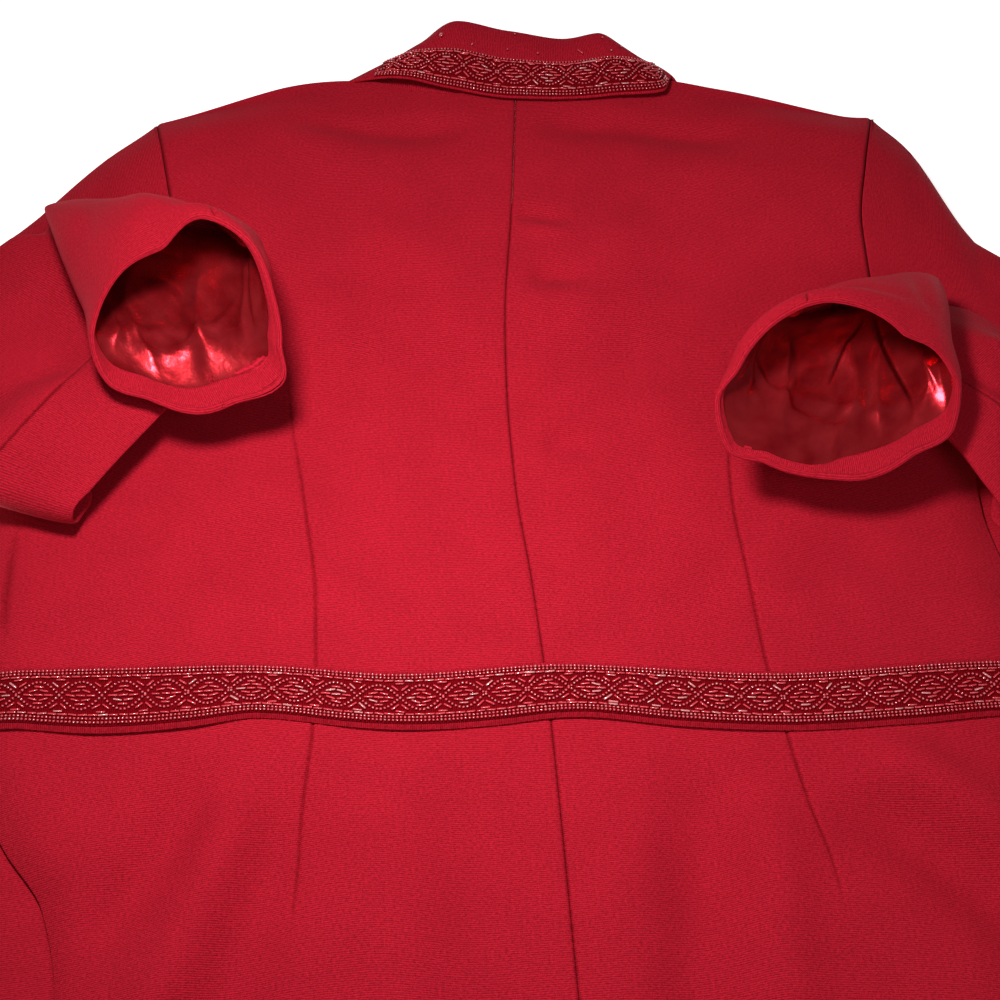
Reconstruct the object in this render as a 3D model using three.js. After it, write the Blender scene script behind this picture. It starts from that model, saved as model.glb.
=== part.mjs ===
// Long belted blazer, laid face down with its hem towards -Y and its collar towards +Y.
// Millimetres, +Z up.  The fronts rest on the ground, the backs lie on them, and each
// sleeve is folded in a Z on the back: upper arm out and down, forearm back up on top of
// it, then over once more, so that the open cuff stands up and looks towards the hem.
import * as THREE from 'three';

// ---------------------------------------------------------------- driving dimensions
const WALL = 2.2;             // crepe with its canvas and lining, pressed together
const SLEEVE_WALL = 1.8;
const SEAM_GAP = 0.3;         // pieces stand this far apart at a seam
const REST_GAP = 2.4;         // a sleeve's air over the back that it lies on
const ARMHOLE_GAP = 1;
const LAYER_GAP = 0.9;        // between a cuff and what is turned into it

const HEM_Y = -360;           // the waist belt is at y = 0
const NAPE_Y = 420;
const NECK_HALF = 88;
const NECK_POINT_Y = 433;
const SHOULDER_HALF = 220;
const SHOULDER_Y = 385;
const UNDERARM_Y = 188;
const FRONT_NECK_Y = 335;     // how low the round front neckline goes

const BACK_LIE = 12;          // height of the back's face over the ground
const YOKE_RISE = 4;
const PAD_RISE = 19;          // the padded shoulder stands this much higher
const SHOULDER_ROLL = 30;     // width of the rounded turn at the shoulder seam
const FRONT_ROLL = 70;
const SIDE_ROLL = 26;         // and at the side seam

const BELT_WIDTH = 32;
const BELT_THICK = 1.4;
const BELT_TILT = -0.034;
const BELT_GAP = 0.9;
const BELT_TRIM_WIDTH = 27;
const TRIM_THICK = 1.2;
const TRIM_START = 0.49;      // beads cover the collar's outer half
const TRIM_END = 0.985;       // and stop just short of an edge
const TRIM_PLACES = [-4, 5];

const COLLAR_WALL = 2;
const STAND_WALL = 1.6;
const FACING_DEPTH = 8;       // cloth turned in at the cuff before the lining starts
const LINING_DEPTH = 56;
const FACING_WALL = 1.2;

// Seams of the two-piece sleeve, as angles round the sleeve from its outer edge.
const HIND_SEAM = 108;
const FORE_SEAM = 252;
const SEAM_ANGLE_GAP = 0.36;
const RING_STEP = 18;
const RUN_STEP = 17;

// ---------------------------------------------------------------- tables of the lay
// Centre back seam: it lies in a soft S.
const CENTRE_BACK = [
  { y: -360, x: 12 },
  { y: -140, x: 5 },
  { y: 0, x: 0 },
  { y: 70, x: -5 },
  { y: 130, x: -11 },
  { y: 190, x: -13 },
  { y: 240, x: -12 },
  { y: 330, x: -4 },
  { y: 420, x: 2.5 },
];

// Outer edges, as distances out from x = 0.  Below the waist the side vents are open,
// so the backs end inside the fronts.  From the underarm up it is the armhole.
const EDGES = [
  { y: -360, backLeft: 266, backRight: 270, frontLeft: 294, frontRight: 292 },
  { y: -240, backLeft: 252, backRight: 258, frontLeft: 290, frontRight: 286 },
  { y: -144, backLeft: 243, backRight: 254, frontLeft: 288, frontRight: 282 },
  { y: -100, backLeft: 252, backRight: 260, frontLeft: 288, frontRight: 280 },
  { y: -67, backLeft: 274, backRight: 268, frontLeft: 290, frontRight: 277 },
  { y: -36, backLeft: 290, backRight: 270, frontLeft: 291, frontRight: 275 },
  { y: 0, backLeft: 293, backRight: 263, frontLeft: 294, frontRight: 272 },
  { y: 40, backLeft: 297, backRight: 256, frontLeft: 298, frontRight: 272 },
  { y: 70, backLeft: 299, backRight: 251, frontLeft: 300, frontRight: 272 },
  { y: 110, backLeft: 297, backRight: 245, frontLeft: 298, frontRight: 268 },
  { y: 150, backLeft: 285, backRight: 246, frontLeft: 286, frontRight: 258 },
  { y: 188, backLeft: 256, backRight: 254, frontLeft: 256, frontRight: 254 },
  { y: 198, backLeft: 238, backRight: 237, frontLeft: 238, frontRight: 237 },
  { y: 214, backLeft: 222, backRight: 220, frontLeft: 222, frontRight: 220 },
  { y: 250, backLeft: 208, backRight: 203, frontLeft: 208, frontRight: 203 },
  { y: 300, backLeft: 206, backRight: 201, frontLeft: 206, frontRight: 201 },
  { y: 345, backLeft: 212, backRight: 209, frontLeft: 212, frontRight: 209 },
  { y: 385, backLeft: 220, backRight: 220, frontLeft: 220, frontRight: 220 },
];
const ROW_LEVELS = [-360, -300, -240, -190, -144, -110, -85, -67, -50, -36, -18, 0, 18, 40, 70,
  110, 150, 172, 188, 194, 202, 214, 230, 250, 275, 300, 325, 350, 370, 385];

const BACK_NECK = [
  { share: 0, out: 2, y: NAPE_Y },
  { share: 0.16, out: 34, y: 421 },
  { share: 0.3, out: 66, y: 426 },
  { share: 0.4, out: NECK_HALF, y: NECK_POINT_Y },
  { share: 1, out: SHOULDER_HALF, y: SHOULDER_Y },
];
const FRONT_NECK = [
  { share: 0, out: 0.4, y: FRONT_NECK_Y },
  { share: 0.16, out: 42, y: 352 },
  { share: 0.3, out: 74, y: 388 },
  { share: 0.4, out: NECK_HALF, y: NECK_POINT_Y },
  { share: 1, out: SHOULDER_HALF, y: SHOULDER_Y },
];

// One shoulder lies a little higher up than the other.  What lies near them goes along.
const SHOULDER_TILT = [
  { x: -300, rise: 5 },
  { x: -252, rise: 12 },
  { x: -222, rise: 8 },
  { x: -150, rise: 7 },
  { x: -100, rise: 2 },
  { x: -70, rise: 0 },
  { x: 62, rise: 0 },
  { x: 98, rise: -6 },
  { x: 130, rise: -10 },
  { x: 200, rise: -9 },
  { x: 220, rise: -5 },
  { x: 242, rise: 6 },
  { x: 268, rise: -12 },
  { x: 300, rise: -12 },
];
const TILT_FROM = 215;        // it fades in over this stretch of y
const TILT_TO = 300;

// How far the belt wanders from its straight line across the back.
const BELT_WANDER = [
  { x: -320, rise: 0 },
  { x: -155, rise: 2.5 },
  { x: -75, rise: -3 },
  { x: 5, rise: 2 },
  { x: 118, rise: -4 },
  { x: 235, rise: 2 },
  { x: 320, rise: 0 },
];

// Sleeve sections from the armhole on.  out, y, z: middle of the section; turn: the way
// its width lies, in degrees from straight out; pitch: 0 runs outwards along the ground,
// 90 straight up, 180 back again; wide, deep: half of its width and of its depth.
const LEFT_SLEEVE = {
  sections: [
    { out: 273, y: 249, z: 20.5, turn: 78, pitch: 0, wide: 81, deep: 8.5 },
    { out: 296, y: 208, z: 20, turn: 54, pitch: 0, wide: 81, deep: 7 },
    { out: 313, y: 161, z: 20, turn: 28, pitch: 0, wide: 80, deep: 6.5 },
    { fold: 'elbow', out: 318, y: 146, z: 27.5, radius: 7.5, turn: 23, wide: 78, deep: 5.4 },
    { out: 309, y: 160, z: 35, turn: 27, pitch: 180, wide: 79, deep: 6.5 },
    { out: 264, y: 222, z: 37, turn: 36, pitch: 180, wide: 80, deep: 6.5 },
    { out: 234, y: 262, z: 38, turn: 29, pitch: 180, wide: 76, deep: 6.5 },
    { fold: 'top', out: 217, y: 282, z: 47.5, radius: 9.5, turn: 14, wide: 65, deep: 7.5 },
    { out: 206, y: 260, z: 70, turn: 8, pitch: 40, wide: 60, deep: 24 },
    { out: 192, y: 226, z: 75.5, turn: 3, pitch: 54, wide: 53, deep: 41 },
    { out: 185, y: 210, z: 77, turn: 0, pitch: 58, wide: 50, deep: 49 },
  ],
  // the limp rim of the cuff, as a radius round its middle
  mouth: [
    { angle: 0, radius: 52 },
    { angle: 25, radius: 46 },
    { angle: 67, radius: 38 },
    { angle: 102, radius: 51 },
    { angle: 129, radius: 50 },
    { angle: 167, radius: 47 },
    { angle: 203, radius: 54 },
    { angle: 220, radius: 65 },
    { angle: 248, radius: 57 },
    { angle: 262, radius: 57.5 },
    { angle: 295, radius: 54 },
    { angle: 320, radius: 60 },
    { angle: 342, radius: 57 },
    { angle: 360, radius: 52 },
  ],
};
const RIGHT_SLEEVE = {
  sections: [
    { out: 265, y: 238, z: 20.5, turn: 84, pitch: 0, wide: 66, deep: 9 },
    { out: 292, y: 186, z: 20.5, turn: 58, pitch: 0, wide: 70, deep: 8 },
    { out: 304, y: 138, z: 20, turn: 36, pitch: 0, wide: 74, deep: 7 },
    { fold: 'elbow', out: 308, y: 126, z: 28.5, radius: 8.5, turn: 30, wide: 72, deep: 7 },
    { out: 294, y: 136, z: 37, turn: 34, pitch: 180, wide: 64, deep: 8 },
    { out: 250, y: 168, z: 40, turn: 40, pitch: 180, wide: 44, deep: 11 },
    { out: 216, y: 199, z: 40, turn: 32, pitch: 180, wide: 46, deep: 9 },
    { fold: 'top', out: 190, y: 214, z: 49.5, radius: 9.5, turn: 16, wide: 46, deep: 8 },
    { out: 174, y: 192, z: 67, turn: 8, pitch: 40, wide: 56, deep: 24 },
    { out: 165, y: 162, z: 70.5, turn: 3, pitch: 54, wide: 61, deep: 39 },
    { out: 161, y: 146, z: 72, turn: 0, pitch: 58, wide: 65, deep: 47 },
  ],
  mouth: [
    { angle: 0, radius: 65 },
    { angle: 20, radius: 58 },
    { angle: 41, radius: 47.5 },
    { angle: 75, radius: 48 },
    { angle: 98, radius: 50 },
    { angle: 122, radius: 51 },
    { angle: 166, radius: 57 },
    { angle: 184, radius: 67 },
    { angle: 206, radius: 68 },
    { angle: 222, radius: 56 },
    { angle: 263, radius: 48 },
    { angle: 286, radius: 50 },
    { angle: 316, radius: 53 },
    { angle: 340, radius: 65 },
    { angle: 360, radius: 65 },
  ],
};
const MOUTH_BLEND = 24;       // the rim's own shape fades into the sleeve over this run

// Collar sections from the left front end, round the back of the neck, to the right one:
// its folded top (roll), the highest line of its fall (crest) and its free edge.  facing:
// 0 where its face looks up, 90 outwards over the shoulder, 180 down under the fronts.
const COLLAR_CENTRE = 8;
const COLLAR = [
  { rollX: -8, rollY: 333, rollZ: 0, crestX: -22, crestY: 314, crestZ: 0, edgeX: -38, edgeY: 292, edgeZ: 0, facing: 180 },
  { rollX: -44, rollY: 353, rollZ: 0, crestX: -64, crestY: 338, crestZ: 0, edgeX: -82, edgeY: 320, edgeZ: 0, facing: 180 },
  { rollX: -74, rollY: 388, rollZ: 0.2, crestX: -94, crestY: 380, crestZ: 0, edgeX: -114, edgeY: 372, edgeZ: 0, facing: 180 },
  { rollX: -86, rollY: 424, rollZ: 3, crestX: -104, crestY: 421, crestZ: 0.8, edgeX: -124, edgeY: 408, edgeZ: 0, facing: 155 },
  { rollX: -82, rollY: 442, rollZ: 9, crestX: -94.5, crestY: 439, crestZ: 9, edgeX: -106, edgeY: 433.5, edgeZ: 9, facing: 95 },
  { rollX: -70, rollY: 451, rollZ: 16, crestX: -77, crestY: 446.5, crestZ: 20.5, edgeX: -85, edgeY: 434, edgeZ: 21, facing: 50 },
  { rollX: -56, rollY: 459, rollZ: 23, crestX: -60, crestY: 447, crestZ: 28.5, edgeX: -65, edgeY: 427, edgeZ: 25, facing: 15 },
  { rollX: -33, rollY: 467, rollZ: 33, crestX: -36, crestY: 446, crestZ: 32.5, edgeX: -40, edgeY: 421, edgeZ: 22, facing: 0 },
  { rollX: 0, rollY: 463, rollZ: 27, crestX: 0, crestY: 440, crestZ: 27.5, edgeX: -1, edgeY: 412, edgeZ: 20.5, facing: 0 },
  { rollX: 34, rollY: 456, rollZ: 26, crestX: 33, crestY: 436, crestZ: 27.5, edgeX: 32, edgeY: 410, edgeZ: 20.5, facing: 0 },
  { rollX: 56, rollY: 456, rollZ: 30, crestX: 60, crestY: 438, crestZ: 29.5, edgeX: 66, edgeY: 411, edgeZ: 21.5, facing: 8 },
  { rollX: 75, rollY: 449, rollZ: 19, crestX: 84, crestY: 439, crestZ: 24.5, edgeX: 95, edgeY: 417, edgeZ: 23, facing: 25 },
  { rollX: 81, rollY: 447, rollZ: 13, crestX: 92, crestY: 443, crestZ: 17.8, edgeX: 102, edgeY: 434.5, edgeZ: 18.6, facing: 60 },
  { rollX: 86, rollY: 442, rollZ: 8, crestX: 98, crestY: 439, crestZ: 8.5, edgeX: 109, edgeY: 434.5, edgeZ: 8.5, facing: 95 },
  { rollX: 86, rollY: 424, rollZ: 3, crestX: 104, crestY: 421, crestZ: 0.8, edgeX: 124, edgeY: 408, edgeZ: 0, facing: 155 },
  { rollX: 74, rollY: 388, rollZ: 0.2, crestX: 94, crestY: 380, crestZ: 0, edgeX: 114, edgeY: 372, edgeZ: 0, facing: 180 },
  { rollX: 44, rollY: 353, rollZ: 0, crestX: 64, crestY: 338, crestZ: 0, edgeX: 82, edgeY: 320, edgeZ: 0, facing: 180 },
  { rollX: 8, rollY: 333, rollZ: 0, crestX: 22, crestY: 314, crestZ: 0, edgeX: 38, edgeY: 292, edgeZ: 0, facing: 180 },
].map((row, index) => ({ ...row, place: index - COLLAR_CENTRE }));

// ---------------------------------------------------------------- small maths
const rad = THREE.MathUtils.degToRad;
const lerp = THREE.MathUtils.lerp;
const clamp = THREE.MathUtils.clamp;
const rise = (value, from, to) => THREE.MathUtils.smoothstep(value, from, to);
const quarterTurn = (share) => Math.sin(Math.PI / 2 * clamp(share, 0, 1));

// A smooth curve through one named column of a table, without overshoot.
function column(rows, key, name) {
  const at = rows.map((row) => row[key]);
  const value = rows.map((row) => row[name]);
  const grade = at.slice(1).map((a, i) => (value[i + 1] - value[i]) / (a - at[i]));
  const slope = at.map((_, i) => {
    if (i === 0) return grade[0];
    if (i === at.length - 1) return grade[i - 1];
    const before = grade[i - 1];
    const after = grade[i];
    return before * after <= 0 ? 0 : 2 * before * after / (before + after);
  });
  return (t) => {
    const x = clamp(t, at[0], at[at.length - 1]);
    let i = 0;
    while (i < at.length - 2 && x > at[i + 1]) i += 1;
    const span = at[i + 1] - at[i];
    const u = (x - at[i]) / span;
    const u2 = u * u;
    const u3 = u2 * u;
    return (2 * u3 - 3 * u2 + 1) * value[i] + (u3 - 2 * u2 + u) * span * slope[i]
      + (3 * u2 - 2 * u3) * value[i + 1] + (u3 - u2) * span * slope[i + 1];
  };
}

const steps = (from, to, count) =>
  Array.from({ length: count + 1 }, (_, i) => lerp(from, to, i / count));

// A closed solid between two grids of points with the same rows and columns.  A looped
// grid closes on itself along its rows.
function wallSolid(outer, inner, looped = false) {
  const rows = outer.length;
  const across = outer[0].length;
  const points = [...outer.flat(), ...inner.flat()];
  const at = (layer, r, c) => layer * rows * across + (r % rows) * across + c;
  const faces = [];
  const quad = (a, b, c, d) => faces.push(a, b, c, a, c, d);
  const lastRow = looped ? rows : rows - 1;
  for (let r = 0; r < lastRow; r += 1) {
    for (let c = 0; c < across - 1; c += 1) {
      quad(at(0, r, c), at(0, r, c + 1), at(0, r + 1, c + 1), at(0, r + 1, c));
      quad(at(1, r, c), at(1, r + 1, c), at(1, r + 1, c + 1), at(1, r, c + 1));
    }
    quad(at(0, r, 0), at(0, r + 1, 0), at(1, r + 1, 0), at(1, r, 0));
    const end = across - 1;
    quad(at(0, r, end), at(1, r, end), at(1, r + 1, end), at(0, r + 1, end));
  }
  if (!looped) {
    for (let c = 0; c < across - 1; c += 1) {
      quad(at(0, 0, c), at(1, 0, c), at(1, 0, c + 1), at(0, 0, c + 1));
      const last = rows - 1;
      quad(at(0, last, c), at(0, last, c + 1), at(1, last, c + 1), at(1, last, c));
    }
  }
  return outwardGeometry(points, faces);
}

// Turns the faces outward if they were wound the other way.
function outwardGeometry(points, faces) {
  let volume = 0;
  const cross = new THREE.Vector3();
  for (let i = 0; i < faces.length; i += 3) {
    const [a, b, c] = [points[faces[i]], points[faces[i + 1]], points[faces[i + 2]]];
    volume += a.dot(cross.crossVectors(b, c));
  }
  const turned = volume > 0 ? faces : faces.slice().reverse();
  const geometry = new THREE.BufferGeometry();
  geometry.setAttribute('position',
    new THREE.Float32BufferAttribute(points.flatMap((p) => [p.x, p.y, p.z]), 3));
  geometry.setIndex(turned);
  geometry.computeVertexNormals();
  return geometry;
}

const moved = (grid, x, y, z) => grid.map((row) =>
  row.map((p) => new THREE.Vector3(p.x + x, p.y + y, p.z + z)));

// ---------------------------------------------------------------- the body's heights
const centreBack = column(CENTRE_BACK, 'y', 'x');
const edges = {
  backLeft: column(EDGES, 'y', 'backLeft'),
  backRight: column(EDGES, 'y', 'backRight'),
  frontLeft: column(EDGES, 'y', 'frontLeft'),
  frontRight: column(EDGES, 'y', 'frontRight'),
};
const sideName = (x) => (x < 0 ? 'Left' : 'Right');
const backEdge = (x, y) => edges[`back${sideName(x)}`](y);

const beltWander = column(BELT_WANDER, 'x', 'rise');
const beltMiddle = (x) => BELT_TILT * x + 2.2 + beltWander(x);

// Distance of a point below the neckline and shoulder seam.
function belowShoulder(out, y) {
  const seamY = lerp(NECK_POINT_Y, SHOULDER_Y, (out - NECK_HALF) / (SHOULDER_HALF - NECK_HALF));
  return Math.max(0, seamY - y);
}

// Height of the shoulder seam, between front and back.
const shoulderSeam = (out) => lerp(13, 24, (out - NECK_HALF) / (SHOULDER_HALF - NECK_HALF));

// The fronts rise off the ground over the belt and the collar, and up to the shoulder.
function frontUnder(x, y) {
  const out = Math.abs(x);
  const beltRoom = (BELT_THICK + 0.5) * (1 - rise(Math.abs(y - beltMiddle(x)), 26, 60));
  const collarReach = Math.hypot(x / 138, (y - NECK_POINT_Y) / 152);
  const collarRoom = (COLLAR_WALL + 1.3) * (1 - rise(collarReach, 1.02, 1.26));
  const flat = beltRoom + collarRoom;
  const seamUnder = shoulderSeam(out) - SEAM_GAP / 2 - WALL;
  const climb = 1 - quarterTurn(belowShoulder(out, y) / FRONT_ROLL);
  return lerp(flat, Math.max(seamUnder, flat), climb * rise(out, 60, 96));
}

function backTop(x, y) {
  const out = Math.abs(x);
  const pad = PAD_RISE * rise(out, 80, 205) * rise(y, 185, 345);
  const yoke = YOKE_RISE * rise(y, 120, 330);
  const lie = BACK_LIE + pad + yoke;
  const seamTop = shoulderSeam(out) + SEAM_GAP / 2 + WALL;
  const overShoulder = quarterTurn(belowShoulder(out, y) / SHOULDER_ROLL);
  const shouldered = lerp(lie, lerp(seamTop, lie, overShoulder), rise(out, 66, 92));
  const least = frontUnder(x, y) + 2 * WALL + SEAM_GAP;
  const inward = backEdge(x, y) - out;
  const sideTurn = quarterTurn(inward / SIDE_ROLL);
  const sided = lerp(least, shouldered, sideTurn);
  return Math.max(least, lerp(sided, shouldered, rise(y, UNDERARM_Y, UNDERARM_Y + 26)));
}

// ---------------------------------------------------------------- body panels
// A panel is stretched between its centre line, its outer edge, its hem and its top.
function panelGrid({ side, centre, centreTop, outer, top, height, across }) {
  const topOut = column(top, 'share', 'out');
  const topY = column(top, 'share', 'y');
  return ROW_LEVELS.map((edgeY) => {
    const v = (edgeY - HEM_Y) / (SHOULDER_Y - HEM_Y);
    const centreY = lerp(HEM_Y, centreTop, v);
    return steps(0, 1, across).map((u) => {
      const hemOut = lerp(side * centre(HEM_Y), outer(HEM_Y), u);
      const bothX = lerp(side * centre(centreY), outer(edgeY), u) + lerp(hemOut, topOut(u), v);
      const bothY = lerp(centreY, edgeY, u) + lerp(HEM_Y, topY(u), v);
      const cornerX = lerp(
        lerp(side * centre(HEM_Y), outer(HEM_Y), u),
        lerp(side * centre(centreTop), outer(SHOULDER_Y), u), v);
      const cornerY = lerp(HEM_Y, lerp(centreTop, SHOULDER_Y, u), v);
      const x = side * (bothX - cornerX);
      const y = bothY - cornerY;
      return new THREE.Vector3(x, y, height(x, y));
    });
  });
}

function backPanel(side) {
  const centre = (y) => centreBack(y) + side * SEAM_GAP / 2;
  const top = BACK_NECK.map((row) => (row.share === 0
    ? { ...row, out: side * centre(NAPE_Y) } : row));
  const face = panelGrid({
    side, centre, centreTop: NAPE_Y, outer: edges[side < 0 ? 'backLeft' : 'backRight'],
    top, height: backTop, across: 11,
  });
  return wallSolid(face, moved(face, 0, 0, -WALL));
}

function frontPanel(side) {
  const centre = () => side * SEAM_GAP / 2;
  const top = FRONT_NECK.map((row) => (row.share === 0
    ? { ...row, out: SEAM_GAP / 2 } : row));
  const face = panelGrid({
    side, centre, centreTop: FRONT_NECK_Y, outer: edges[side < 0 ? 'frontLeft' : 'frontRight'],
    top, height: frontUnder, across: 8,
  });
  return wallSolid(face, moved(face, 0, 0, WALL));
}

// ---------------------------------------------------------------- sleeves
// Writes each fold as a half turn of sections round its line.
function unfolded(sections) {
  return sections.flatMap((row) => {
    if (!row.fold) return [row];
    const headOut = Math.sin(rad(row.turn));
    const headY = -Math.cos(rad(row.turn));
    const pitches = row.fold === 'elbow' ? [25, 57, 90, 123, 155] : [155, 123, 90, 52];
    const way = row.fold === 'elbow' ? 1 : -1;
    return pitches.map((pitch) => ({
      out: row.out + way * row.radius * Math.sin(rad(pitch)) * headOut,
      y: row.y + way * row.radius * Math.sin(rad(pitch)) * headY,
      z: row.z - way * row.radius * Math.cos(rad(pitch)),
      turn: row.turn, pitch, wide: row.wide, deep: row.deep,
    }));
  });
}

function sleeveShape(side, sleeve) {
  const outerEdge = edges[side < 0 ? 'backLeft' : 'backRight'];
  const first = sleeve.sections[0];
  const rows = unfolded(sleeve.sections);
  const armholeRun = Math.hypot(first.out - 222, first.y - 286);
  let run = armholeRun;
  rows.forEach((row, i) => {
    const last = rows[i - 1];
    if (last) run += Math.hypot(row.out - last.out, row.y - last.y, row.z - last.z);
    row.run = run;
  });
  const curves = Object.fromEntries(['out', 'y', 'z', 'turn', 'pitch', 'wide', 'deep']
    .map((name) => [name, column(rows, 'run', name)]));
  const rim = column(sleeve.mouth, 'angle', 'radius');
  const mouthRun = run;

  // The two directions of a section: along its width and along its depth.
  const frameAt = (at) => {
    const join = rise(at, 0, armholeRun);
    const turn = rad(lerp(100, curves.turn(at), join));
    const pitch = rad(curves.pitch(at));
    const width = new THREE.Vector3(side * Math.cos(turn), Math.sin(turn), 0);
    const head = new THREE.Vector3(side * Math.sin(turn), -Math.cos(turn), 0);
    const depth = head.multiplyScalar(-Math.sin(pitch));
    depth.z += Math.cos(pitch);
    return { width, depth };
  };

  const armholePoint = (angle) => {
    const y = lerp(UNDERARM_Y, SHOULDER_Y, (1 + Math.cos(rad(angle))) / 2);
    const x = side * (outerEdge(y) + ARMHOLE_GAP);
    const top = backTop(side * outerEdge(y), y);
    const under = frontUnder(side * outerEdge(y), y);
    const lean = Math.sin(rad(angle));
    const z = Math.abs(lean) < 0.02 ? (top + under) / 2 : (lean > 0 ? top : under);
    return new THREE.Vector3(x, y, z);
  };

  const sectionPoint = (at, angle) => {
    const { width, depth } = frameAt(at);
    const turned = ((angle % 360) + 360) % 360;
    const cos = Math.cos(rad(angle));
    const sin = Math.sin(rad(angle));
    const limp = rise(at, mouthRun - MOUTH_BLEND, mouthRun);
    const acrossOut = lerp(curves.wide(at) * cos, rim(turned) * cos, limp);
    const throughOut = lerp(curves.deep(at) * sin, rim(turned) * sin, limp);
    return new THREE.Vector3(side * curves.out(at), curves.y(at), curves.z(at))
      .addScaledVector(width, acrossOut).addScaledVector(depth, throughOut);
  };

  // Over the body a sleeve lies on the back; beside it, it sinks towards the ground.
  const settled = (p) => {
    const beyond = Math.abs(p.x) - backEdge(p.x, p.y);
    const sunk = p.z - 10 * rise(beyond, 0, 46) * (p.y < SHOULDER_Y ? 1 : 0);
    const floor = beyond < 3 ? backTop(p.x, p.y) + REST_GAP : 0.4;
    p.z = Math.max(sunk, floor);
    return p;
  };

  const point = (at, angle) => {
    if (at >= armholeRun) return settled(sectionPoint(at, angle));
    const share = at / armholeRun;
    const start = armholePoint(angle);
    const goal = settled(sectionPoint(armholeRun, angle));
    const underarm = rise(-Math.cos(rad(angle)), 0.3, 1);
    const flatShare = rise(share, 0, 1) * (1 - 0.5 * underarm * (1 - share));
    const climbShare = lerp(rise(share, 0, 1), rise(share * 2.4, 0, 1), underarm);
    const bulge = 9 * underarm * Math.sin(Math.PI * share);
    return new THREE.Vector3(
      lerp(start.x, goal.x, flatShare) + side * bulge,
      lerp(start.y, goal.y, flatShare),
      lerp(start.z, goal.z, climbShare));
  };

  // Points at a depth below the cloth's outer face.
  const layer = (ats, angles, depthIn) => ats.map((at) => {
    const { width, depth } = frameAt(at);
    return angles.map((angle) => point(at, angle)
      .addScaledVector(width, -depthIn * Math.cos(rad(angle)))
      .addScaledVector(depth, -depthIn * Math.sin(rad(angle))));
  });

  const spaced = rows.slice(0, -1).flatMap((row, i) => {
    const next = rows[i + 1];
    const more = Math.max(1, Math.round((next.run - row.run) / RUN_STEP));
    return steps(row.run, next.run, more).slice(0, -1);
  });
  const facingRuns = steps(mouthRun - FACING_DEPTH, mouthRun, 2);
  const runs = [
    ...steps(0, armholeRun, 4).slice(0, -1),
    ...spaced.filter((at) => at < facingRuns[0] - 3),
    ...facingRuns,
  ];
  return { layer, runs, facingRuns };
}

const angleSteps = (from, to) => steps(from, to, Math.round((to - from) / RING_STEP));

function sleevePieces(side, sleeve) {
  const { layer, runs, facingRuns } = sleeveShape(side, sleeve);
  const half = SEAM_ANGLE_GAP / 2;
  const top = angleSteps(FORE_SEAM + half - 360, HIND_SEAM - half);
  const under = angleSteps(HIND_SEAM + half, FORE_SEAM - half);
  const round = angleSteps(HIND_SEAM - 360 + 144, FORE_SEAM).slice(0, -1);
  const turnedIn = SLEEVE_WALL + LAYER_GAP;
  const liningEnd = facingRuns[0] - SEAM_GAP;
  const liningRuns = runs.filter((run) => run > liningEnd - LINING_DEPTH && run < liningEnd - 3);
  liningRuns.push(liningEnd);
  const tube = (ats, thick) => wallSolid(
    transposed(layer(ats, round, turnedIn)),
    transposed(layer(ats, round, turnedIn + thick)), true);
  return {
    top_sleeve: wallSolid(layer(runs, top, 0), layer(runs, top, SLEEVE_WALL)),
    under_sleeve: wallSolid(layer(runs, under, 0), layer(runs, under, SLEEVE_WALL)),
    cuff_facing: tube(facingRuns, FACING_WALL),
    sleeve_lining: tube(liningRuns, FACING_WALL),
  };
}

const transposed = (grid) => grid[0].map((_, c) => grid.map((row) => row[c]));

// ---------------------------------------------------------------- collar
const collarCurves = Object.fromEntries(
  Object.keys(COLLAR[0]).map((name) => [name, column(COLLAR, 'place', name)]));

// down: 0 at the roll, 1 at the free edge.  over: how far above the fall's face.
function collarPoint(place, down, over) {
  const at = (line) => new THREE.Vector3(
    collarCurves[`${line}X`](place), collarCurves[`${line}Y`](place), collarCurves[`${line}Z`](place));
  const point = at('roll').multiplyScalar((1 - down) * (1 - 2 * down))
    .addScaledVector(at('crest'), 4 * down * (1 - down))
    .addScaledVector(at('edge'), down * (2 * down - 1));
  return point.addScaledVector(collarFacing(place), over);
}

// The fall faces up at the back of the neck and down under the fronts.
function collarFacing(place) {
  const facing = rad(collarCurves.facing(place));
  const outward = new THREE.Vector3(Math.sign(place) * 0.45, 0.89, 0);
  return outward.multiplyScalar(Math.sin(facing)).setZ(Math.cos(facing));
}

const collarEnds = [COLLAR[0].place, COLLAR[COLLAR.length - 1].place];
const collarPlaces = (from, to) => steps(from, to, Math.round(2 * (to - from)));
const COLLAR_DOWNS = steps(0, 1, 6);

function collarSheet(places, downs, from, to) {
  const grid = (over) => places.map((place) => downs.map((down) => collarPoint(place, down, over)));
  return wallSolid(grid(to), grid(from));
}

// The stand rises from the back neckline to the inside of the roll.
const STAND_REACH = 3.1;      // how many places it reaches to each side
const STAND_SHARE = 0.385;    // and how far out along the back neckline
const NECK_GAP = 1.6;
const STAND_DROP = 4.4;       // its top edge stays this far under the fold
const STAND_DOWN = 0.03;
function collarStand() {
  const neckOut = column(BACK_NECK, 'share', 'out');
  const neckY = column(BACK_NECK, 'share', 'y');
  const point = (place, up, over) => {
    const share = STAND_SHARE * Math.abs(place) / STAND_REACH;
    const x = place === 0 ? 0 : Math.sign(place) * neckOut(share);
    const y = neckY(share) + NECK_GAP;
    const seam = new THREE.Vector3(x, y, backTop(x, y) - WALL + over);
    const roll = collarPoint(place, STAND_DOWN, 0);
    return seam.lerp(roll.setZ(roll.z - COLLAR_WALL - STAND_DROP + over), up);
  };
  const grid = (over) => collarPlaces(-STAND_REACH, STAND_REACH).map((place) =>
    steps(0, 1, 3).map((up) => point(place, up, over)));
  return wallSolid(grid(0), grid(-STAND_WALL));
}

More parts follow.
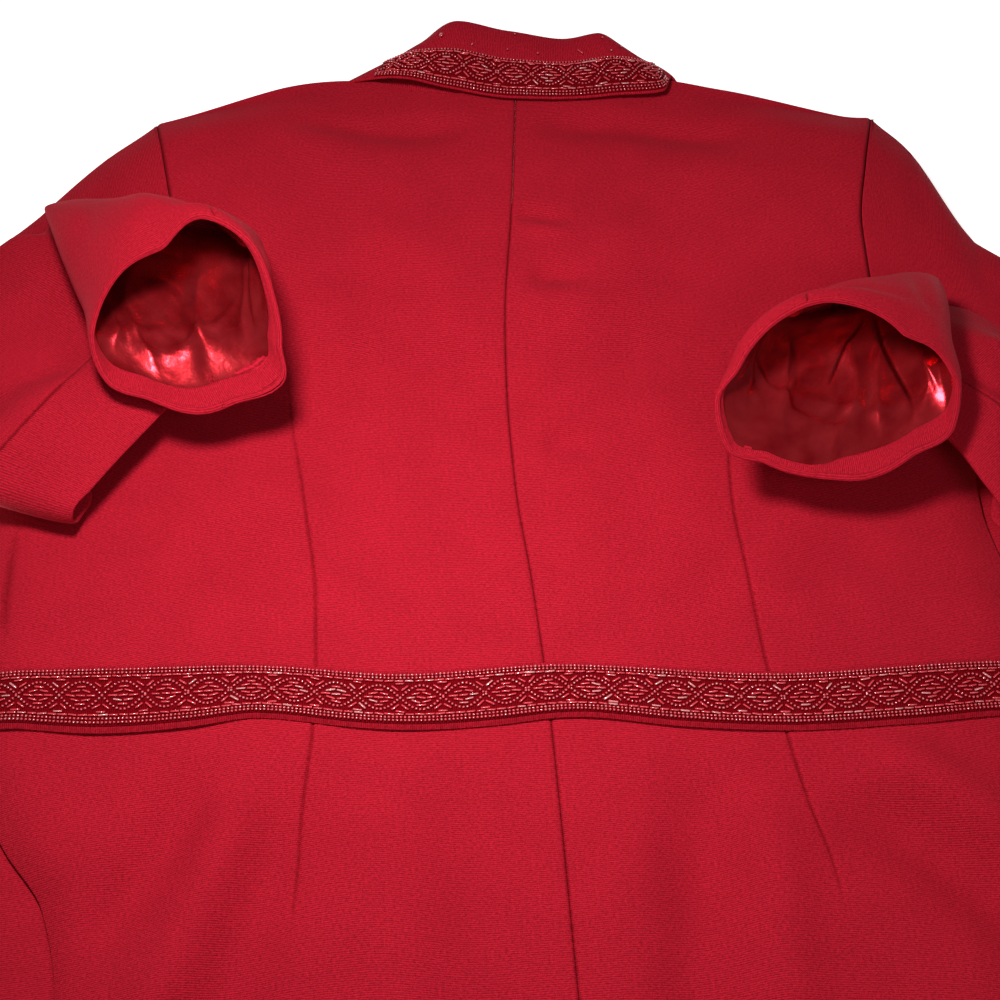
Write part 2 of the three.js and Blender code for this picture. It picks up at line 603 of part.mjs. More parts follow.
function collarPieces() {
  const [from, to] = collarEnds;
  const trimDowns = COLLAR_DOWNS.filter((down) => down > TRIM_START);
  trimDowns[trimDowns.length - 1] = TRIM_END;
  return {
    collar_fall: collarSheet(collarPlaces(from, to), COLLAR_DOWNS, -COLLAR_WALL, 0),
    collar_trim: collarSheet(collarPlaces(...TRIM_PLACES), trimDowns, SEAM_GAP, SEAM_GAP + TRIM_THICK),
    collar_stand: collarStand(),
  };
}

// ---------------------------------------------------------------- belt
// The belt's loop: over the back, round the right side, under the fronts and back up.
// A spot at a side has the angle by which the belt has turned there.
function beltLoop() {
  const reach = { left: edges.frontLeft(0) - 4, right: edges.frontRight(0) - 4 };
  const over = steps(-reach.left, reach.right, 36).map((x) => ({ on: 'back', x }));
  const turns = [30, 70, 110, 150, 179];
  const right = turns.map((turned) => ({ on: 'side', side: 1, turned }));
  const under = steps(reach.right, -reach.left, 14).map((x) => ({ on: 'front', x }));
  const left = [...turns].reverse().map((turned) => ({ on: 'side', side: -1, turned }));
  return [...over, ...right, ...under, ...left];
}

const BELT_TURN = 4.8;        // the belt's inner radius at the sides
function beltPoint(spot, share, lift) {
  const nearX = spot.on === 'side' ? spot.side * edges.frontRight(0) : spot.x;
  const y = beltMiddle(nearX) + (share - 0.5) * BELT_WIDTH;
  if (spot.on === 'back') return new THREE.Vector3(spot.x, y, backTop(spot.x, y) + BELT_GAP + lift);
  if (spot.on === 'front') return new THREE.Vector3(spot.x, y, BELT_THICK - lift);
  const edge = Math.max(edges.frontLeft(y) * (spot.side < 0), edges.frontRight(y) * (spot.side > 0));
  const reach = BELT_TURN + lift;
  return new THREE.Vector3(
    spot.side * (edge - 1 + reach * Math.sin(rad(spot.turned))), y,
    BELT_THICK + BELT_TURN + reach * Math.cos(rad(spot.turned)));
}

function beltPieces() {
  const loop = beltLoop();
  const shares = steps(0, 1, 2);
  const ring = (lift) => loop.map((spot) => shares.map((share) => beltPoint(spot, share, lift)));
  const showing = loop.filter((spot) => spot.on === 'back');
  const trimShares = steps(1 - BELT_TRIM_WIDTH / BELT_WIDTH, TRIM_END, 2);
  const band = (lift) => showing.map((spot) =>
    trimShares.map((share) => beltPoint(spot, share, lift)));
  return {
    belt: wallSolid(ring(BELT_THICK), ring(0), true),
    belt_trim: wallSolid(band(BELT_THICK + SEAM_GAP + TRIM_THICK), band(BELT_THICK + SEAM_GAP)),
  };
}

// ---------------------------------------------------------------- cloths and assembly
const cloth = (color, roughness) =>
  new THREE.MeshStandardMaterial({ color, roughness, metalness: 0 });
const crepe = cloth(0xb8192d, 0.85);
const satin = cloth(0x9c1022, 0.32);
const beading = cloth(0xa80f1f, 0.4);

const shoulderTilt = column(SHOULDER_TILT, 'x', 'rise');
function tilted(geometry) {
  const place = geometry.getAttribute('position');
  for (let i = 0; i < place.count; i += 1) {
    const y = place.getY(i);
    place.setY(i, y + shoulderTilt(place.getX(i)) * rise(y, TILT_FROM, TILT_TO));
  }
  geometry.computeVertexNormals();
  return geometry;
}

const blazer = new THREE.Group();
function sew(name, geometry, material) {
  const mesh = new THREE.Mesh(tilted(geometry), material);
  mesh.name = name;
  blazer.add(mesh);
}

sew('back_left', backPanel(-1), crepe);
sew('back_right', backPanel(1), crepe);
sew('front_left', frontPanel(-1), crepe);
sew('front_right', frontPanel(1), crepe);
for (const [hand, side, sleeve] of [['left', -1, LEFT_SLEEVE], ['right', 1, RIGHT_SLEEVE]]) {
  for (const [name, geometry] of Object.entries(sleevePieces(side, sleeve))) {
    sew(`${name}_${hand}`, geometry, name === 'sleeve_lining' ? satin : crepe);
  }
}
for (const [name, geometry] of Object.entries({ ...collarPieces(), ...beltPieces() })) {
  sew(name, geometry, name.endsWith('trim') ? beading : crepe);
}

// The origin is under the middle of the whole part.
const box = new THREE.Box3().setFromObject(blazer);
blazer.position.set(-(box.min.x + box.max.x) / 2, -(box.min.y + box.max.y) / 2, -box.min.z);
blazer.updateMatrixWorld(true);

export default blazer;
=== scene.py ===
# %% [markdown]
# # A long belted blazer, laid face down
#
# The garment lies on its front with the hem towards us.  Each sleeve is folded in a Z
# on the back, so the open cuff stands up and shows its satin lining.  A beaded band runs
# round the waist on a belt, and another round the collar.
#
# The solids that carry the garment's true size come first, as a frame that never moves.
# Everything below is a finer cloth laid on that frame.

# %% The frame and its box
import math
import bpy
import numpy as np
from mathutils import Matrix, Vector


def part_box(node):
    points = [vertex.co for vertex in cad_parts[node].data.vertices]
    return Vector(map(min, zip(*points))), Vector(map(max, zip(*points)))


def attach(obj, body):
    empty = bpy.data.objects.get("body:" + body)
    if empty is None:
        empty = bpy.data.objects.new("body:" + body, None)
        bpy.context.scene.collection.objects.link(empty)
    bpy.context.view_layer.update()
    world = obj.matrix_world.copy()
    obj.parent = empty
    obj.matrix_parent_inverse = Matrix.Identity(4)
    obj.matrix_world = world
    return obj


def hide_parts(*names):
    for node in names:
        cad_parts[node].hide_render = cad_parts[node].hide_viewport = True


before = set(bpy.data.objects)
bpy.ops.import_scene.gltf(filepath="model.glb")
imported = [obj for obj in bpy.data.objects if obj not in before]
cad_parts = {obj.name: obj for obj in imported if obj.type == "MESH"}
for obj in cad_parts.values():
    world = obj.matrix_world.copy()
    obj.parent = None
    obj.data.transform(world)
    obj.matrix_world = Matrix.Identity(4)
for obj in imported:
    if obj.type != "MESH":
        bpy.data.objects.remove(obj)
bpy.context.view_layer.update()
print("frame nodes:", len(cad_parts))

# %% [markdown]
# ## Where things are
#
# A cutter thinks in millimetres from the waist and the centre back, so this file does
# too: x to the right, y from the belt up to the collar, z up from the table.  Only the
# last step of each piece turns its points into metres in the frame's own place.  The
# back's hem and the left front's side tell how far apart the two origins are.

# %% Garment measures and the way into the frame
HEM_Y = -360.0
NAPE_Y = 420.0
NECK_HALF = 88.0
NECK_POINT_Y = 433.0
SHOULDER_HALF = 220.0
SHOULDER_Y = 385.0
UNDERARM_Y = 188.0
FRONT_NECK_Y = 335.0
FRONT_SIDE = 300.0          # the left front at its widest

SHIFT = np.array([
    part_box("front_left")[0][0] * 1000 + FRONT_SIDE,
    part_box("back_left")[0][1] * 1000 - HEM_Y,
    0.0,
])


def in_frame(points):
    return (np.asarray(points, float) + SHIFT) * 0.001


print("garment origin in the frame, mm:", np.round(SHIFT, 1))

# %% [markdown]
# ## The camera
#
# It stands behind the hem and looks down on the back at about 58 degrees, turned a
# little to the right.  A 67 mm lens keeps the shoulders from shrinking too fast.

# %% Camera
LENS = 66.7
LOOK_AT = (-20.0, 121.5, 12.0)
STAND_AT = (-42.4, -409.9, 877.0)

camera_data = bpy.data.cameras.new("camera")
camera_data.lens = LENS
camera_data.sensor_width = 36.0
camera_data.clip_end = 50.0
camera = bpy.data.objects.new("camera", camera_data)
bpy.context.scene.collection.objects.link(camera)
camera.location = Vector(in_frame(STAND_AT))
line_of_sight = Vector(in_frame(LOOK_AT)) - camera.location
camera.rotation_euler = line_of_sight.to_track_quat("-Z", "Y").to_euler()
bpy.context.scene.camera = camera
print("camera is", round(line_of_sight.length, 3), "m from what it looks at")

# %% [markdown]
# ## Small tools
#
# A table keeps a name for each column, and `column` draws a smooth curve through one of
# them that never overshoots its points.  `rise` is a soft step from 0 to 1, and
# `quarter_turn` climbs as a quarter of a circle does.  `unit` makes lengths one.

# %% Tables, curves and soft steps


def table(names, *rows):
    return [dict(zip(names.split(), row)) for row in rows]


def column(rows, key, name):
    at = np.array([row[key] for row in rows], float)
    value = np.array([row[name] for row in rows], float)
    grade = np.diff(value) / np.diff(at)
    product = grade[:-1] * grade[1:]
    total = np.where(product > 0, grade[:-1] + grade[1:], 1)
    slope = np.concatenate([grade[:1], np.where(product > 0, 2 * product / total, 0), grade[-1:]])

    def curve(where):
        x = np.clip(where, at[0], at[-1])
        i = np.clip(np.searchsorted(at, x) - 1, 0, len(at) - 2)
        span = at[i + 1] - at[i]
        u = (x - at[i]) / span
        ends = (2 * u**3 - 3 * u**2 + 1) * value[i] + (3 * u**2 - 2 * u**3) * value[i + 1]
        slopes = (u**3 - 2 * u**2 + u) * slope[i] + (u**3 - u**2) * slope[i + 1]
        return ends + span * slopes

    return curve


def lerp(a, b, share):
    return a + (b - a) * share


def rise(value, low, high):
    u = np.clip((value - low) / (high - low), 0, 1)
    return u * u * (3 - 2 * u)


def quarter_turn(share):
    return np.sin(np.pi / 2 * np.clip(share, 0, 1))


def unit(vectors):
    return vectors / np.linalg.norm(vectors, axis=-1, keepdims=True)


# %% [markdown]
# ## Soft unevenness and listed creases
#
# No cloth lies quite flat.  `ripple` adds up a few seeded waves for the slow unevenness.
# The creases that the eye remembers are laid one by one: each is a line from one place
# to another with a bend, a width and a height, negative for a trough.

# %% Ripples and creases
WAVE_SPREAD = (0.7, 1.7)    # shortest and longest wave, as shares of the size asked for
CREASE_BEYOND = 0.08        # a crease fades out this far past its ends, as a share of it
CREASE_FULL = 0.3           # and has its whole height from here on
SHARPNESS = 1.4


def ripple(x, y, size, seed, waves=9):
    rng = np.random.default_rng(seed)
    total = np.zeros(np.broadcast(x, y).shape)
    for _ in range(waves):
        way = rng.uniform(0, 2 * np.pi)
        length = size * rng.uniform(*WAVE_SPREAD)
        phase = rng.uniform(0, 2 * np.pi)
        total += np.sin(2 * np.pi * (x * np.cos(way) + y * np.sin(way)) / length + phase)
    return total / math.sqrt(waves)


def creased(x, y, rows, sharp=False):
    total = np.zeros(np.broadcast(x, y).shape)
    for row in rows:
        along_x = row["x1"] - row["x0"]
        along_y = row["y1"] - row["y0"]
        length = math.hypot(along_x, along_y)
        share = ((x - row["x0"]) * along_x + (y - row["y0"]) * along_y) / length**2
        off = ((y - row["y0"]) * along_x - (x - row["x0"]) * along_y) / length
        off = off - row["bend"] * 4 * share * (1 - share)
        begins = rise(share, -CREASE_BEYOND, CREASE_FULL)
        stops = rise(1 - share, -CREASE_BEYOND, CREASE_FULL)
        away = np.abs(off) / row["wide"]
        profile = np.maximum(0, 1 - away) ** SHARPNESS if sharp else np.exp(-away**2)
        total += row["high"] * begins * stops * profile
    return total


# %% [markdown]
# ## From a sheet of points to a piece of cloth
#
# Every piece starts as a grid of points on its outer face.  `cloth` gives it a wall: it
# copies the grid inwards by the cloth's thickness and joins the rims with a rounded
# edge, as a folded hem has.  A grid can close on itself, as a cuff does.  Each point also
# keeps its place in the flat cloth, so that a weave can follow the grain, and how much it
# lies in a seam, so that painted shade can darken the stitched line.

# %% The cloth maker
RIM_BULGE = 0.36            # how far a rounded rim stands out, as a share of the wall


def grid_normals(grid, looped):
    if looped:
        down = np.roll(grid, -1, axis=0) - np.roll(grid, 1, axis=0)
    else:
        down = np.gradient(grid, axis=0)
    across = np.gradient(grid, axis=1)
    normal = np.cross(down, across)
    size = np.linalg.norm(normal, axis=2, keepdims=True)
    return normal / np.maximum(size, 1e-9)


def rim_of(rows, columns):
    top = [(0, c) for c in range(columns)]
    right = [(r, columns - 1) for r in range(1, rows)]
    bottom = [(rows - 1, c) for c in range(columns - 2, -1, -1)]
    left = [(r, 0) for r in range(rows - 2, 0, -1)]
    return top + right + bottom + left


def wall_quads(rows, columns, looped):
    last = rows if looped else rows - 1
    r, c = np.meshgrid(np.arange(last), np.arange(columns - 1), indexing="ij")
    a = r * columns + c
    b = ((r + 1) % rows) * columns + c
    outer = np.stack([a, b, b + 1, a + 1], axis=-1).reshape(-1, 4)
    inner = outer[:, ::-1] + rows * columns
    return np.vstack([outer, inner])


def rim_quads(rims, first, inner_offset):
    """Joins each rim's outer row, its rounded middle row and its inner row."""
    faces = []
    start = first
    for rim in rims:
        n = len(rim)
        for i in range(n):
            j = (i + 1) % n
            faces.append((rim[j], rim[i], start + i, start + j))
            faces.append((start + j, start + i, rim[i] + inner_offset, rim[j] + inner_offset))
        start += n
    return faces


def new_mesh(name, points, faces, grain=None):
    mesh = bpy.data.meshes.new(name)
    mesh.from_pydata(in_frame(tilted(points)).tolist(), [], [tuple(map(int, f)) for f in faces])
    mesh.update()
    if grain is not None:
        data = mesh.attributes.new("grain", "FLOAT_VECTOR", "POINT")
        data.data.foreach_set("vector", np.asarray(grain, np.float32).ravel())
    mesh.shade_smooth()
    piece = bpy.data.objects.new(name, mesh)
    bpy.context.scene.collection.objects.link(piece)
    return piece


def cloth(name, grid, thick, looped=False, outward=None, seam=0.0):
    """A closed wall of cloth under a grid of outer points; outward is a rough direction.

    The last argument says, from 0 to 1, how much painted shade darkens a point in a seam's line.
    """
    rows, columns, _ = grid.shape
    normal = grid_normals(grid, looped)
    flip = False
    if outward is not None:
        flip = float(np.sum(normal * outward)) < 0
        normal = -normal if flip else normal
    inner = grid - normal * thick
    count = rows * columns
    flat = lambda r, c: r * columns + c
    if looped:
        first_rim = [flat(r, 0) for r in range(rows)]
        last_rim = [flat(r, columns - 1) for r in range(rows)]
        rims = [first_rim[::-1], last_rim]
        beside = {0: 1, columns - 1: columns - 2}
    else:
        rims = [[flat(r, c) for r, c in rim_of(rows, columns)][::-1]]
    middle = []
    for rim in rims:
        for index in rim:
            r, c = divmod(index, columns)
            if looped:
                near = grid[r, beside[c]]
            else:
                near_r = min(max(r, 1), rows - 2)
                near_c = min(max(c, 1), columns - 2)
                near = grid[near_r, near_c]
            away = grid[r, c] - near
            away = away / max(np.linalg.norm(away), 1e-9)
            middle.append((grid[r, c] + inner[r, c]) / 2 + away * thick * RIM_BULGE)
    points = np.vstack([grid.reshape(-1, 3), inner.reshape(-1, 3), np.array(middle)])
    faces = wall_quads(rows, columns, looped).tolist()
    faces += rim_quads(rims, 2 * count, count)
    if not flip:
        faces = [f[::-1] for f in faces]
    grain = grain_of(grid)
    grain[..., 2] = seam
    flat_grain = grain.reshape(-1, 3)
    rim_grain = np.array([flat_grain[index] for rim in rims for index in rim])
    return new_mesh(name, points, faces, np.vstack([flat_grain, flat_grain, rim_grain]))


def grain_of(grid):
    """Distances along the two ways of a grid, in millimetres."""
    down = np.linalg.norm(np.diff(grid, axis=0), axis=2)
    down = np.vstack([np.zeros((1, grid.shape[1])), np.cumsum(down, axis=0)])
    across = np.linalg.norm(np.diff(grid, axis=1), axis=2)
    across = np.hstack([np.zeros((grid.shape[0], 1)), np.cumsum(across, axis=1)])
    middle = grid.shape[1] // 2
    level = np.repeat(down[:, middle:middle + 1], grid.shape[1], axis=1)
    return np.stack([across, level, np.zeros_like(level)], axis=2)


FINE_RIM = (0.5, 1.3, 2.6, 4.6, 7.5)


def spaced(length, step, fine=FINE_RIM):
    """Shares from 0 to 1, about one step apart, closer together at both ends."""
    ends = np.array([0.0, *fine])
    count = max(2, int(round((length - 2 * ends[-1]) / step)))
    inside = np.linspace(ends[-1], length - ends[-1], count + 1)[1:-1]
    return np.concatenate([ends, inside, length - ends[::-1]]) / length


# %% [markdown]
# ## How the body lies
#
# The two fronts lie on the table and the backs lie on them.  From a few tables come the
# centre back seam, the outer edges and the armholes.  `back_lie` gives the back's height:
# it rounds down to the fronts at the side seams, rises over the shoulder pads and rolls
# over at the shoulder seams.

# %% Edges and seams of the body
CENTRE_BACK = table(
    "y x",
    (-360, 12), (-140, 5), (0, 0), (70, -5), (130, -11),
    (190, -13), (240, -12), (330, -4), (420, 2.5),
)
EDGES = table(
    "y back_left back_right front_left front_right",
    (-360, 266, 270, 294, 292),
    (-240, 252, 258, 290, 286),
    (-144, 243, 254, 288, 282),
    (-100, 252, 260, 288, 280),
    (-67, 274, 268, 290, 277),
    (-36, 290, 270, 291, 275),
    (0, 293, 263, 294, 272),
    (40, 297, 256, 298, 272),
    (70, 299, 251, 300, 272),
    (110, 297, 245, 298, 268),
    (150, 293, 246, 295, 258),
    (188, 256, 254, 256, 254),
    (198, 238, 237, 238, 237),
    (214, 222, 220, 222, 220),
    (250, 208, 203, 208, 203),
    (300, 206, 201, 206, 201),
    (345, 212, 209, 212, 209),
    (385, 220, 220, 220, 220),
)
BACK_NECK = table(
    "share out y",
    (0, 2, NAPE_Y), (0.16, 34, 421), (0.3, 66, 426),
    (0.4, NECK_HALF, NECK_POINT_Y), (1, SHOULDER_HALF, SHOULDER_Y),
)
FRONT_NECK = table(
    "share out y",
    (0, 0.4, FRONT_NECK_Y), (0.16, 42, 352), (0.3, 74, 388),
    (0.4, NECK_HALF, NECK_POINT_Y), (1, SHOULDER_HALF, SHOULDER_Y),
)
BELT_WANDER = table(
    "x rise",
    (-320, 0), (-155, 2.5), (-75, -3), (5, 2), (118, -4), (235, 2), (320, 0),
)
SHOULDER_TILT = table(
    "x rise",
    (-300, 5), (-252, 12), (-222, 8), (-150, 7), (-100, 2), (-70, 0), (62, 0),
    (98, -6), (130, -10), (200, -9), (220, -5), (242, 6), (268, -12), (300, -12),
)
TILT_FROM = 215.0
TILT_TO = 300.0
centre_back = column(CENTRE_BACK, "y", "x")
shoulder_tilt = column(SHOULDER_TILT, "x", "rise")
edge_of = {name: column(EDGES, "y", name) for name in EDGES[0] if name != "y"}
belt_wander = column(BELT_WANDER, "x", "rise")


def tilted(points):
    """One shoulder lies a little higher up than the other, with all that is near it."""
    points = np.array(points, float)
    x, y = points[..., 0], points[..., 1]
    points[..., 1] = y + shoulder_tilt(x) * rise(y, TILT_FROM, TILT_TO)
    return points


# %% Heights of the fronts and of the back
WALL = 2.2
SEAM_GAP = 0.3
BACK_LIE = 12.0
YOKE_RISE = 4.0
PAD_RISE = 19.0
SHOULDER_ROLL = 30.0
FRONT_ROLL = 70.0
SIDE_ROLL = 26.0
PAD_OUT = (80, 205)          # where the shoulder pad swells, outwards and upwards
PAD_UP = (185, 345)
YOKE_UP = (120, 330)
SEAM_OUT = (66, 92)          # where the shoulder seam begins beside the neck
FRONT_SEAM_OUT = (60, 96)
BELT_WIDTH = 32.0
BELT_THICK = 1.4
BELT_TILT = -0.034
BELT_AT = 2.2
BELT_GAP = 0.9
BELT_ROOM = BELT_THICK + 0.5
BELT_ROOM_ENDS = (26, 60)
COLLAR_WALL = 2.0
COLLAR_ROOM = COLLAR_WALL + 1.3
COLLAR_ROOM_HALF = (138, 152)
COLLAR_ROOM_ENDS = (1.02, 1.26)


def belt_middle(x):
    return BELT_TILT * x + BELT_AT + belt_wander(x)


def below_shoulder(out, y):
    share = (out - NECK_HALF) / (SHOULDER_HALF - NECK_HALF)
    return np.maximum(0, lerp(NECK_POINT_Y, SHOULDER_Y, share) - y)


def shoulder_seam(out):
    return lerp(13.0, 24.0, (out - NECK_HALF) / (SHOULDER_HALF - NECK_HALF))


def front_under(x, y):
    out = np.abs(x)
    belt_room = BELT_ROOM * (1 - rise(np.abs(y - belt_middle(x)), *BELT_ROOM_ENDS))
    reach = np.hypot(x / COLLAR_ROOM_HALF[0], (y - NECK_POINT_Y) / COLLAR_ROOM_HALF[1])
    flat = belt_room + COLLAR_ROOM * (1 - rise(reach, *COLLAR_ROOM_ENDS))
    seam_under = shoulder_seam(out) - SEAM_GAP / 2 - WALL
    climb = 1 - quarter_turn(below_shoulder(out, y) / FRONT_ROLL)
    climb = climb * rise(out, *FRONT_SEAM_OUT)
    return lerp(flat, np.maximum(seam_under, flat), climb)


def back_edge(x, y):
    return np.where(x < 0, edge_of["back_left"](y), edge_of["back_right"](y))


def back_lie(x, y):
    out = np.abs(x)
    pad = PAD_RISE * rise(out, *PAD_OUT) * rise(y, *PAD_UP)
    lie = BACK_LIE + pad + YOKE_RISE * rise(y, *YOKE_UP)
    seam_top = shoulder_seam(out) + SEAM_GAP / 2 + WALL
    over = quarter_turn(below_shoulder(out, y) / SHOULDER_ROLL)
    shouldered = lerp(lie, lerp(seam_top, lie, over), rise(out, *SEAM_OUT))
    least = front_under(x, y) + 2 * WALL + SEAM_GAP
    side_turn = quarter_turn((back_edge(x, y) - out) / SIDE_ROLL)
    sided = lerp(least, shouldered, side_turn)
    open_side = rise(y, UNDERARM_Y, UNDERARM_Y + SIDE_ROLL)
    return np.maximum(least, lerp(sided, shouldered, open_side))


# %% [markdown]
# ## The back's own folds
#
# Pressed crepe keeps long shallow folds.  Most are only a few millimetres high, but in
# soft light they make the difference between cloth and card: hollows under the collar,
# drag lines from the sleeves, and long soft pleats that fall from the waist.  They fade
# out towards the edges, where seams hold the cloth, and under the sleeves and the belt.

# %% Folds of the back
BACK_FOLDS = table(
    "x0 y0 x1 y1 bend wide high",
    (-160, 408, -22, 396, -5, 13, -2.2),
    (8, 396, 150, 384, 5, 14, -2.4),
    (-150, 372, -60, 362, 4, 20, 1.4),
    (60, 362, 160, 348, 4, 20, 1.3),
    (-6, 322, 30, 314, 2, 4.5, -1.1),
    (0, 310, 34, 303, 1, 5, 0.7),
    (2, 276, 40, 268, 2, 9, -1.5),
    (-4, 252, 46, 262, -2, 16, 1.0),
    (4, 158, 40, 150, 3, 10, -1.3),
    (-34, 176, -14, 150, 2, 11, -0.9),
    (-120, 300, -40, 190, 12, 26, -1.6),
    (-60, 330, -28, 200, -8, 22, 1.3),
    (110, 300, 52, 190, -10, 26, -1.7),
    (66, 330, 30, 210, 8, 22, 1.2),
    (-180, 150, -90, 112, -8, 16, 1.2),
    (-200, 120, -110, 70, -6, 18, -1.4),
    (196, 110, 130, 60, 6, 18, -1.3),
    (-230, 60, -150, 24, -4, 15, 0.9),
    (-148, -22, -216, -190, 8, 17, 3.2),
    (-176, -30, -262, -150, 10, 16, -2.6),
    (-128, -34, -168, -230, -10, 24, -2.8),
    (-86, -26, -78, -210, 4, 22, 1.4),
    (-40, -30, -36, -240, -6, 26, -1.4),
    (36, -26, 34, -220, 5, 22, 1.4),
    (78, -34, 54, -250, -6, 24, -2.6),
    (104, -40, 96, -230, 6, 16, 1.8),
    (156, -30, 232, -96, 8, 15, 2.6),
    (142, -60, 236, -150, 8, 17, -2.8),
    (176, -130, 210, -330, 10, 26, 2.4),
    (-190, -200, -214, -350, 8, 28, 2.2),
    (8, -200, -10, -350, 6, 34, 1.6),
)
FOLD_DEEPER = 3.0
UNEVEN = table("high size seed", (0.55, 190, 3), (0.22, 62, 8))
SIDE_FADE = (2, 34)
TOP_FADE = (2, 26)
SLEEVE_OUT = (150, 200)
SLEEVE_UP = (60, 110)
SLEEVE_FLATTENS = 0.75
BELT_REACH = 22.0
BELT_FLATTENS = 0.8


def back_folds(x, y):
    folds = FOLD_DEEPER * creased(x, y, BACK_FOLDS)
    for row in UNEVEN:
        folds = folds + row["high"] * ripple(x, y, row["size"], row["seed"])
    inward = rise(back_edge(x, y) - np.abs(x), *SIDE_FADE)
    top = lerp(NAPE_Y, SHOULDER_Y, np.abs(x) / SHOULDER_HALF)
    below_top = rise(top - y, *TOP_FADE)
    sleeve_lies = rise(np.abs(x), *SLEEVE_OUT) * rise(y, *SLEEVE_UP)
    under_belt = np.exp(-(((y - belt_middle(x)) / BELT_REACH) ** 2))
    free = (1 - SLEEVE_FLATTENS * sleeve_lies) * (1 - BELT_FLATTENS * under_belt)
    return folds * inward * below_top * free


def back_face(x, y):
    return back_lie(x, y) + back_folds(x, y)


# %% [markdown]
# ## Backs and fronts
#
# A panel is stretched between its seam, its outer edge, its hem and its neck, the way a
# pattern piece is drawn.  A dart is a take-in of cloth stitched to a point, so the grid
# bends with it and one column of points lies right on it.  There the cloth dips into a
# fine groove and puckers a little between stitches.

# %% Panel grids
DARTS = table(
    "y left right deep",
    (-130, 131, 138, 0), (-104, 128, 134, 0.5), (-78, 126, 127, 0.9), (-30, 120, 119, 1),
    (0, 118.5, 115, 1), (40, 119, 112.5, 1), (90, 124, 109.5, 1), (143, 133, 112, 0.9),
    (190, 138, 116, 0.5), (230, 140, 120, 0),
)
SIDE_SEAM = 285.0            # the left side seam lies a little inside the turned edge
SIDE_SEAM_FROM = (-30, 0)    # and shows from the waist up
GROOVE = 1.0                 # depth and half width of a seam's fine groove
GROOVE_WIDE = 0.95
DART_GROOVE = 1.15           # how much deeper other seams are, and how much wider
ARMHOLE_GROOVE = 1.5
ARMHOLE_WIDER = 1.3
ARMHOLE_FADE = 12.0
SIDE_GROOVE = 0.8
SIDE_WIDER = 1.6
# How much painted shade darkens each kind of seam's line, from 0 to 1.
CENTRE_SEAM_SHADE = 0.7            # how dark a seam's line is, from 0 to 1
DART_SEAM_SHADE = 0.8
SIDE_SEAM_SHADE = 0.8
SLEEVE_GROOVE = 0.9
SLEEVE_SEAM_SHADE = 0.7
PUCKER_PITCH = 7.3
PUCKER_HIGH = 0.16
PUCKER_REACH = 6.0
SEAM_HALF_GAP = 0.08
CLOSING_HALF_GAP = 0.15
INSIDE_DART = (118, 3.6)     # length of cloth and step of the grid, each side of the dart
BEYOND_DART = (140, 3.8)
FRONT_ACROSS = (285, 5.2)
dart_deep = column(DARTS, "y", "deep")
dart_out = {-1: column(DARTS, "y", "left"), 1: column(DARTS, "y", "right")}


def panel(side, centre, centre_top, outer, top, levels, shares):
    """x and y of a panel's grid; shares has a row for each level."""
    top_out = column(top, "share", "out")(shares)
    top_y = column(top, "share", "y")(shares)
    edge_y = levels[:, None]
    v = (edge_y - HEM_Y) / (SHOULDER_Y - HEM_Y)
    centre_y = lerp(HEM_Y, centre_top, v)
    hem_out = lerp(side * centre(HEM_Y), outer(HEM_Y), shares)
    x = lerp(side * centre(centre_y), outer(edge_y), shares) + lerp(hem_out, top_out, v)
    y = lerp(centre_y, edge_y, shares) + lerp(HEM_Y, top_y, v)
    x = x - lerp(hem_out, lerp(side * centre(centre_top), outer(SHOULDER_Y), shares), v)
    y = y - lerp(HEM_Y, lerp(centre_top, SHOULDER_Y, shares), v)
    return side * x, y


def in_seam(distance):
    return np.exp(-((distance / GROOVE_WIDE) ** 2))


def seam_groove(distance):
    return -GROOVE * in_seam(distance)


def pucker(distance, along, seed):
    """The small waves that a line of stitches draws into the cloth beside it."""
    uneven = 1.5 * ripple(along, 0 * along, 60, seed)
    waves = np.sin(2 * np.pi * along / PUCKER_PITCH + uneven)
    return PUCKER_HIGH * waves * np.exp(-((distance / PUCKER_REACH) ** 2))


BACK_STEP = 3.4
FRONT_STEP = 5.0


def levels_of(step):
    return lerp(HEM_Y, SHOULDER_Y, spaced(SHOULDER_Y - HEM_Y, step))


def back_panel(side):
    """The grid of one back, and how much painted shade each point gets in a seam's line."""
    levels = levels_of(BACK_STEP)
    edge_y = levels[:, None]
    outer = edge_of["back_left" if side < 0 else "back_right"]
    centre = lambda y: centre_back(y) + side * SEAM_HALF_GAP
    width = outer(edge_y) - side * centre_back(edge_y)
    dart_share = (dart_out[side](edge_y) - side * centre_back(edge_y)) / width
    inside = spaced(*INSIDE_DART)
    beyond = spaced(*BEYOND_DART)[1:]
    shares = np.hstack([dart_share * inside, lerp(dart_share, 1, beyond)])
    top = [dict(row) for row in BACK_NECK]
    top[0]["out"] = side * centre(NAPE_Y)
    x, y = panel(side, centre, NAPE_Y, outer, top, levels, shares)
    z = back_face(x, y)
    from_seam = np.abs(x - centre_back(y))
    dart_column = x[:, len(inside) - 1][:, None]
    from_dart = np.abs(x - dart_column)
    z = z + seam_groove(from_seam) + pucker(from_seam, y, 21)
    z = z + dart_deep(y) * (DART_GROOVE * seam_groove(from_dart) + pucker(from_dart, y, 22))
    at_armhole = rise(y, UNDERARM_Y, UNDERARM_Y + ARMHOLE_FADE)
    from_armhole = (back_edge(x, y) - np.abs(x)) / ARMHOLE_WIDER
    z = z + ARMHOLE_GROOVE * seam_groove(from_armhole) * at_armhole
    # Painted shade along the centre back seam, the darts, the armhole and the left side seam.
    seam = CENTRE_SEAM_SHADE * in_seam(from_seam)
    seam = seam + DART_SEAM_SHADE * dart_deep(y) * in_seam(from_dart)
    seam = seam + in_seam(from_armhole) * at_armhole
    if side < 0:
        from_side = (np.abs(x) - SIDE_SEAM) / SIDE_WIDER
        shows = rise(y, *SIDE_SEAM_FROM)
        z = z + SIDE_GROOVE * seam_groove(from_side) * shows
        seam = seam + SIDE_SEAM_SHADE * in_seam(from_side) * shows
    return np.stack([x, y, z], axis=2), seam


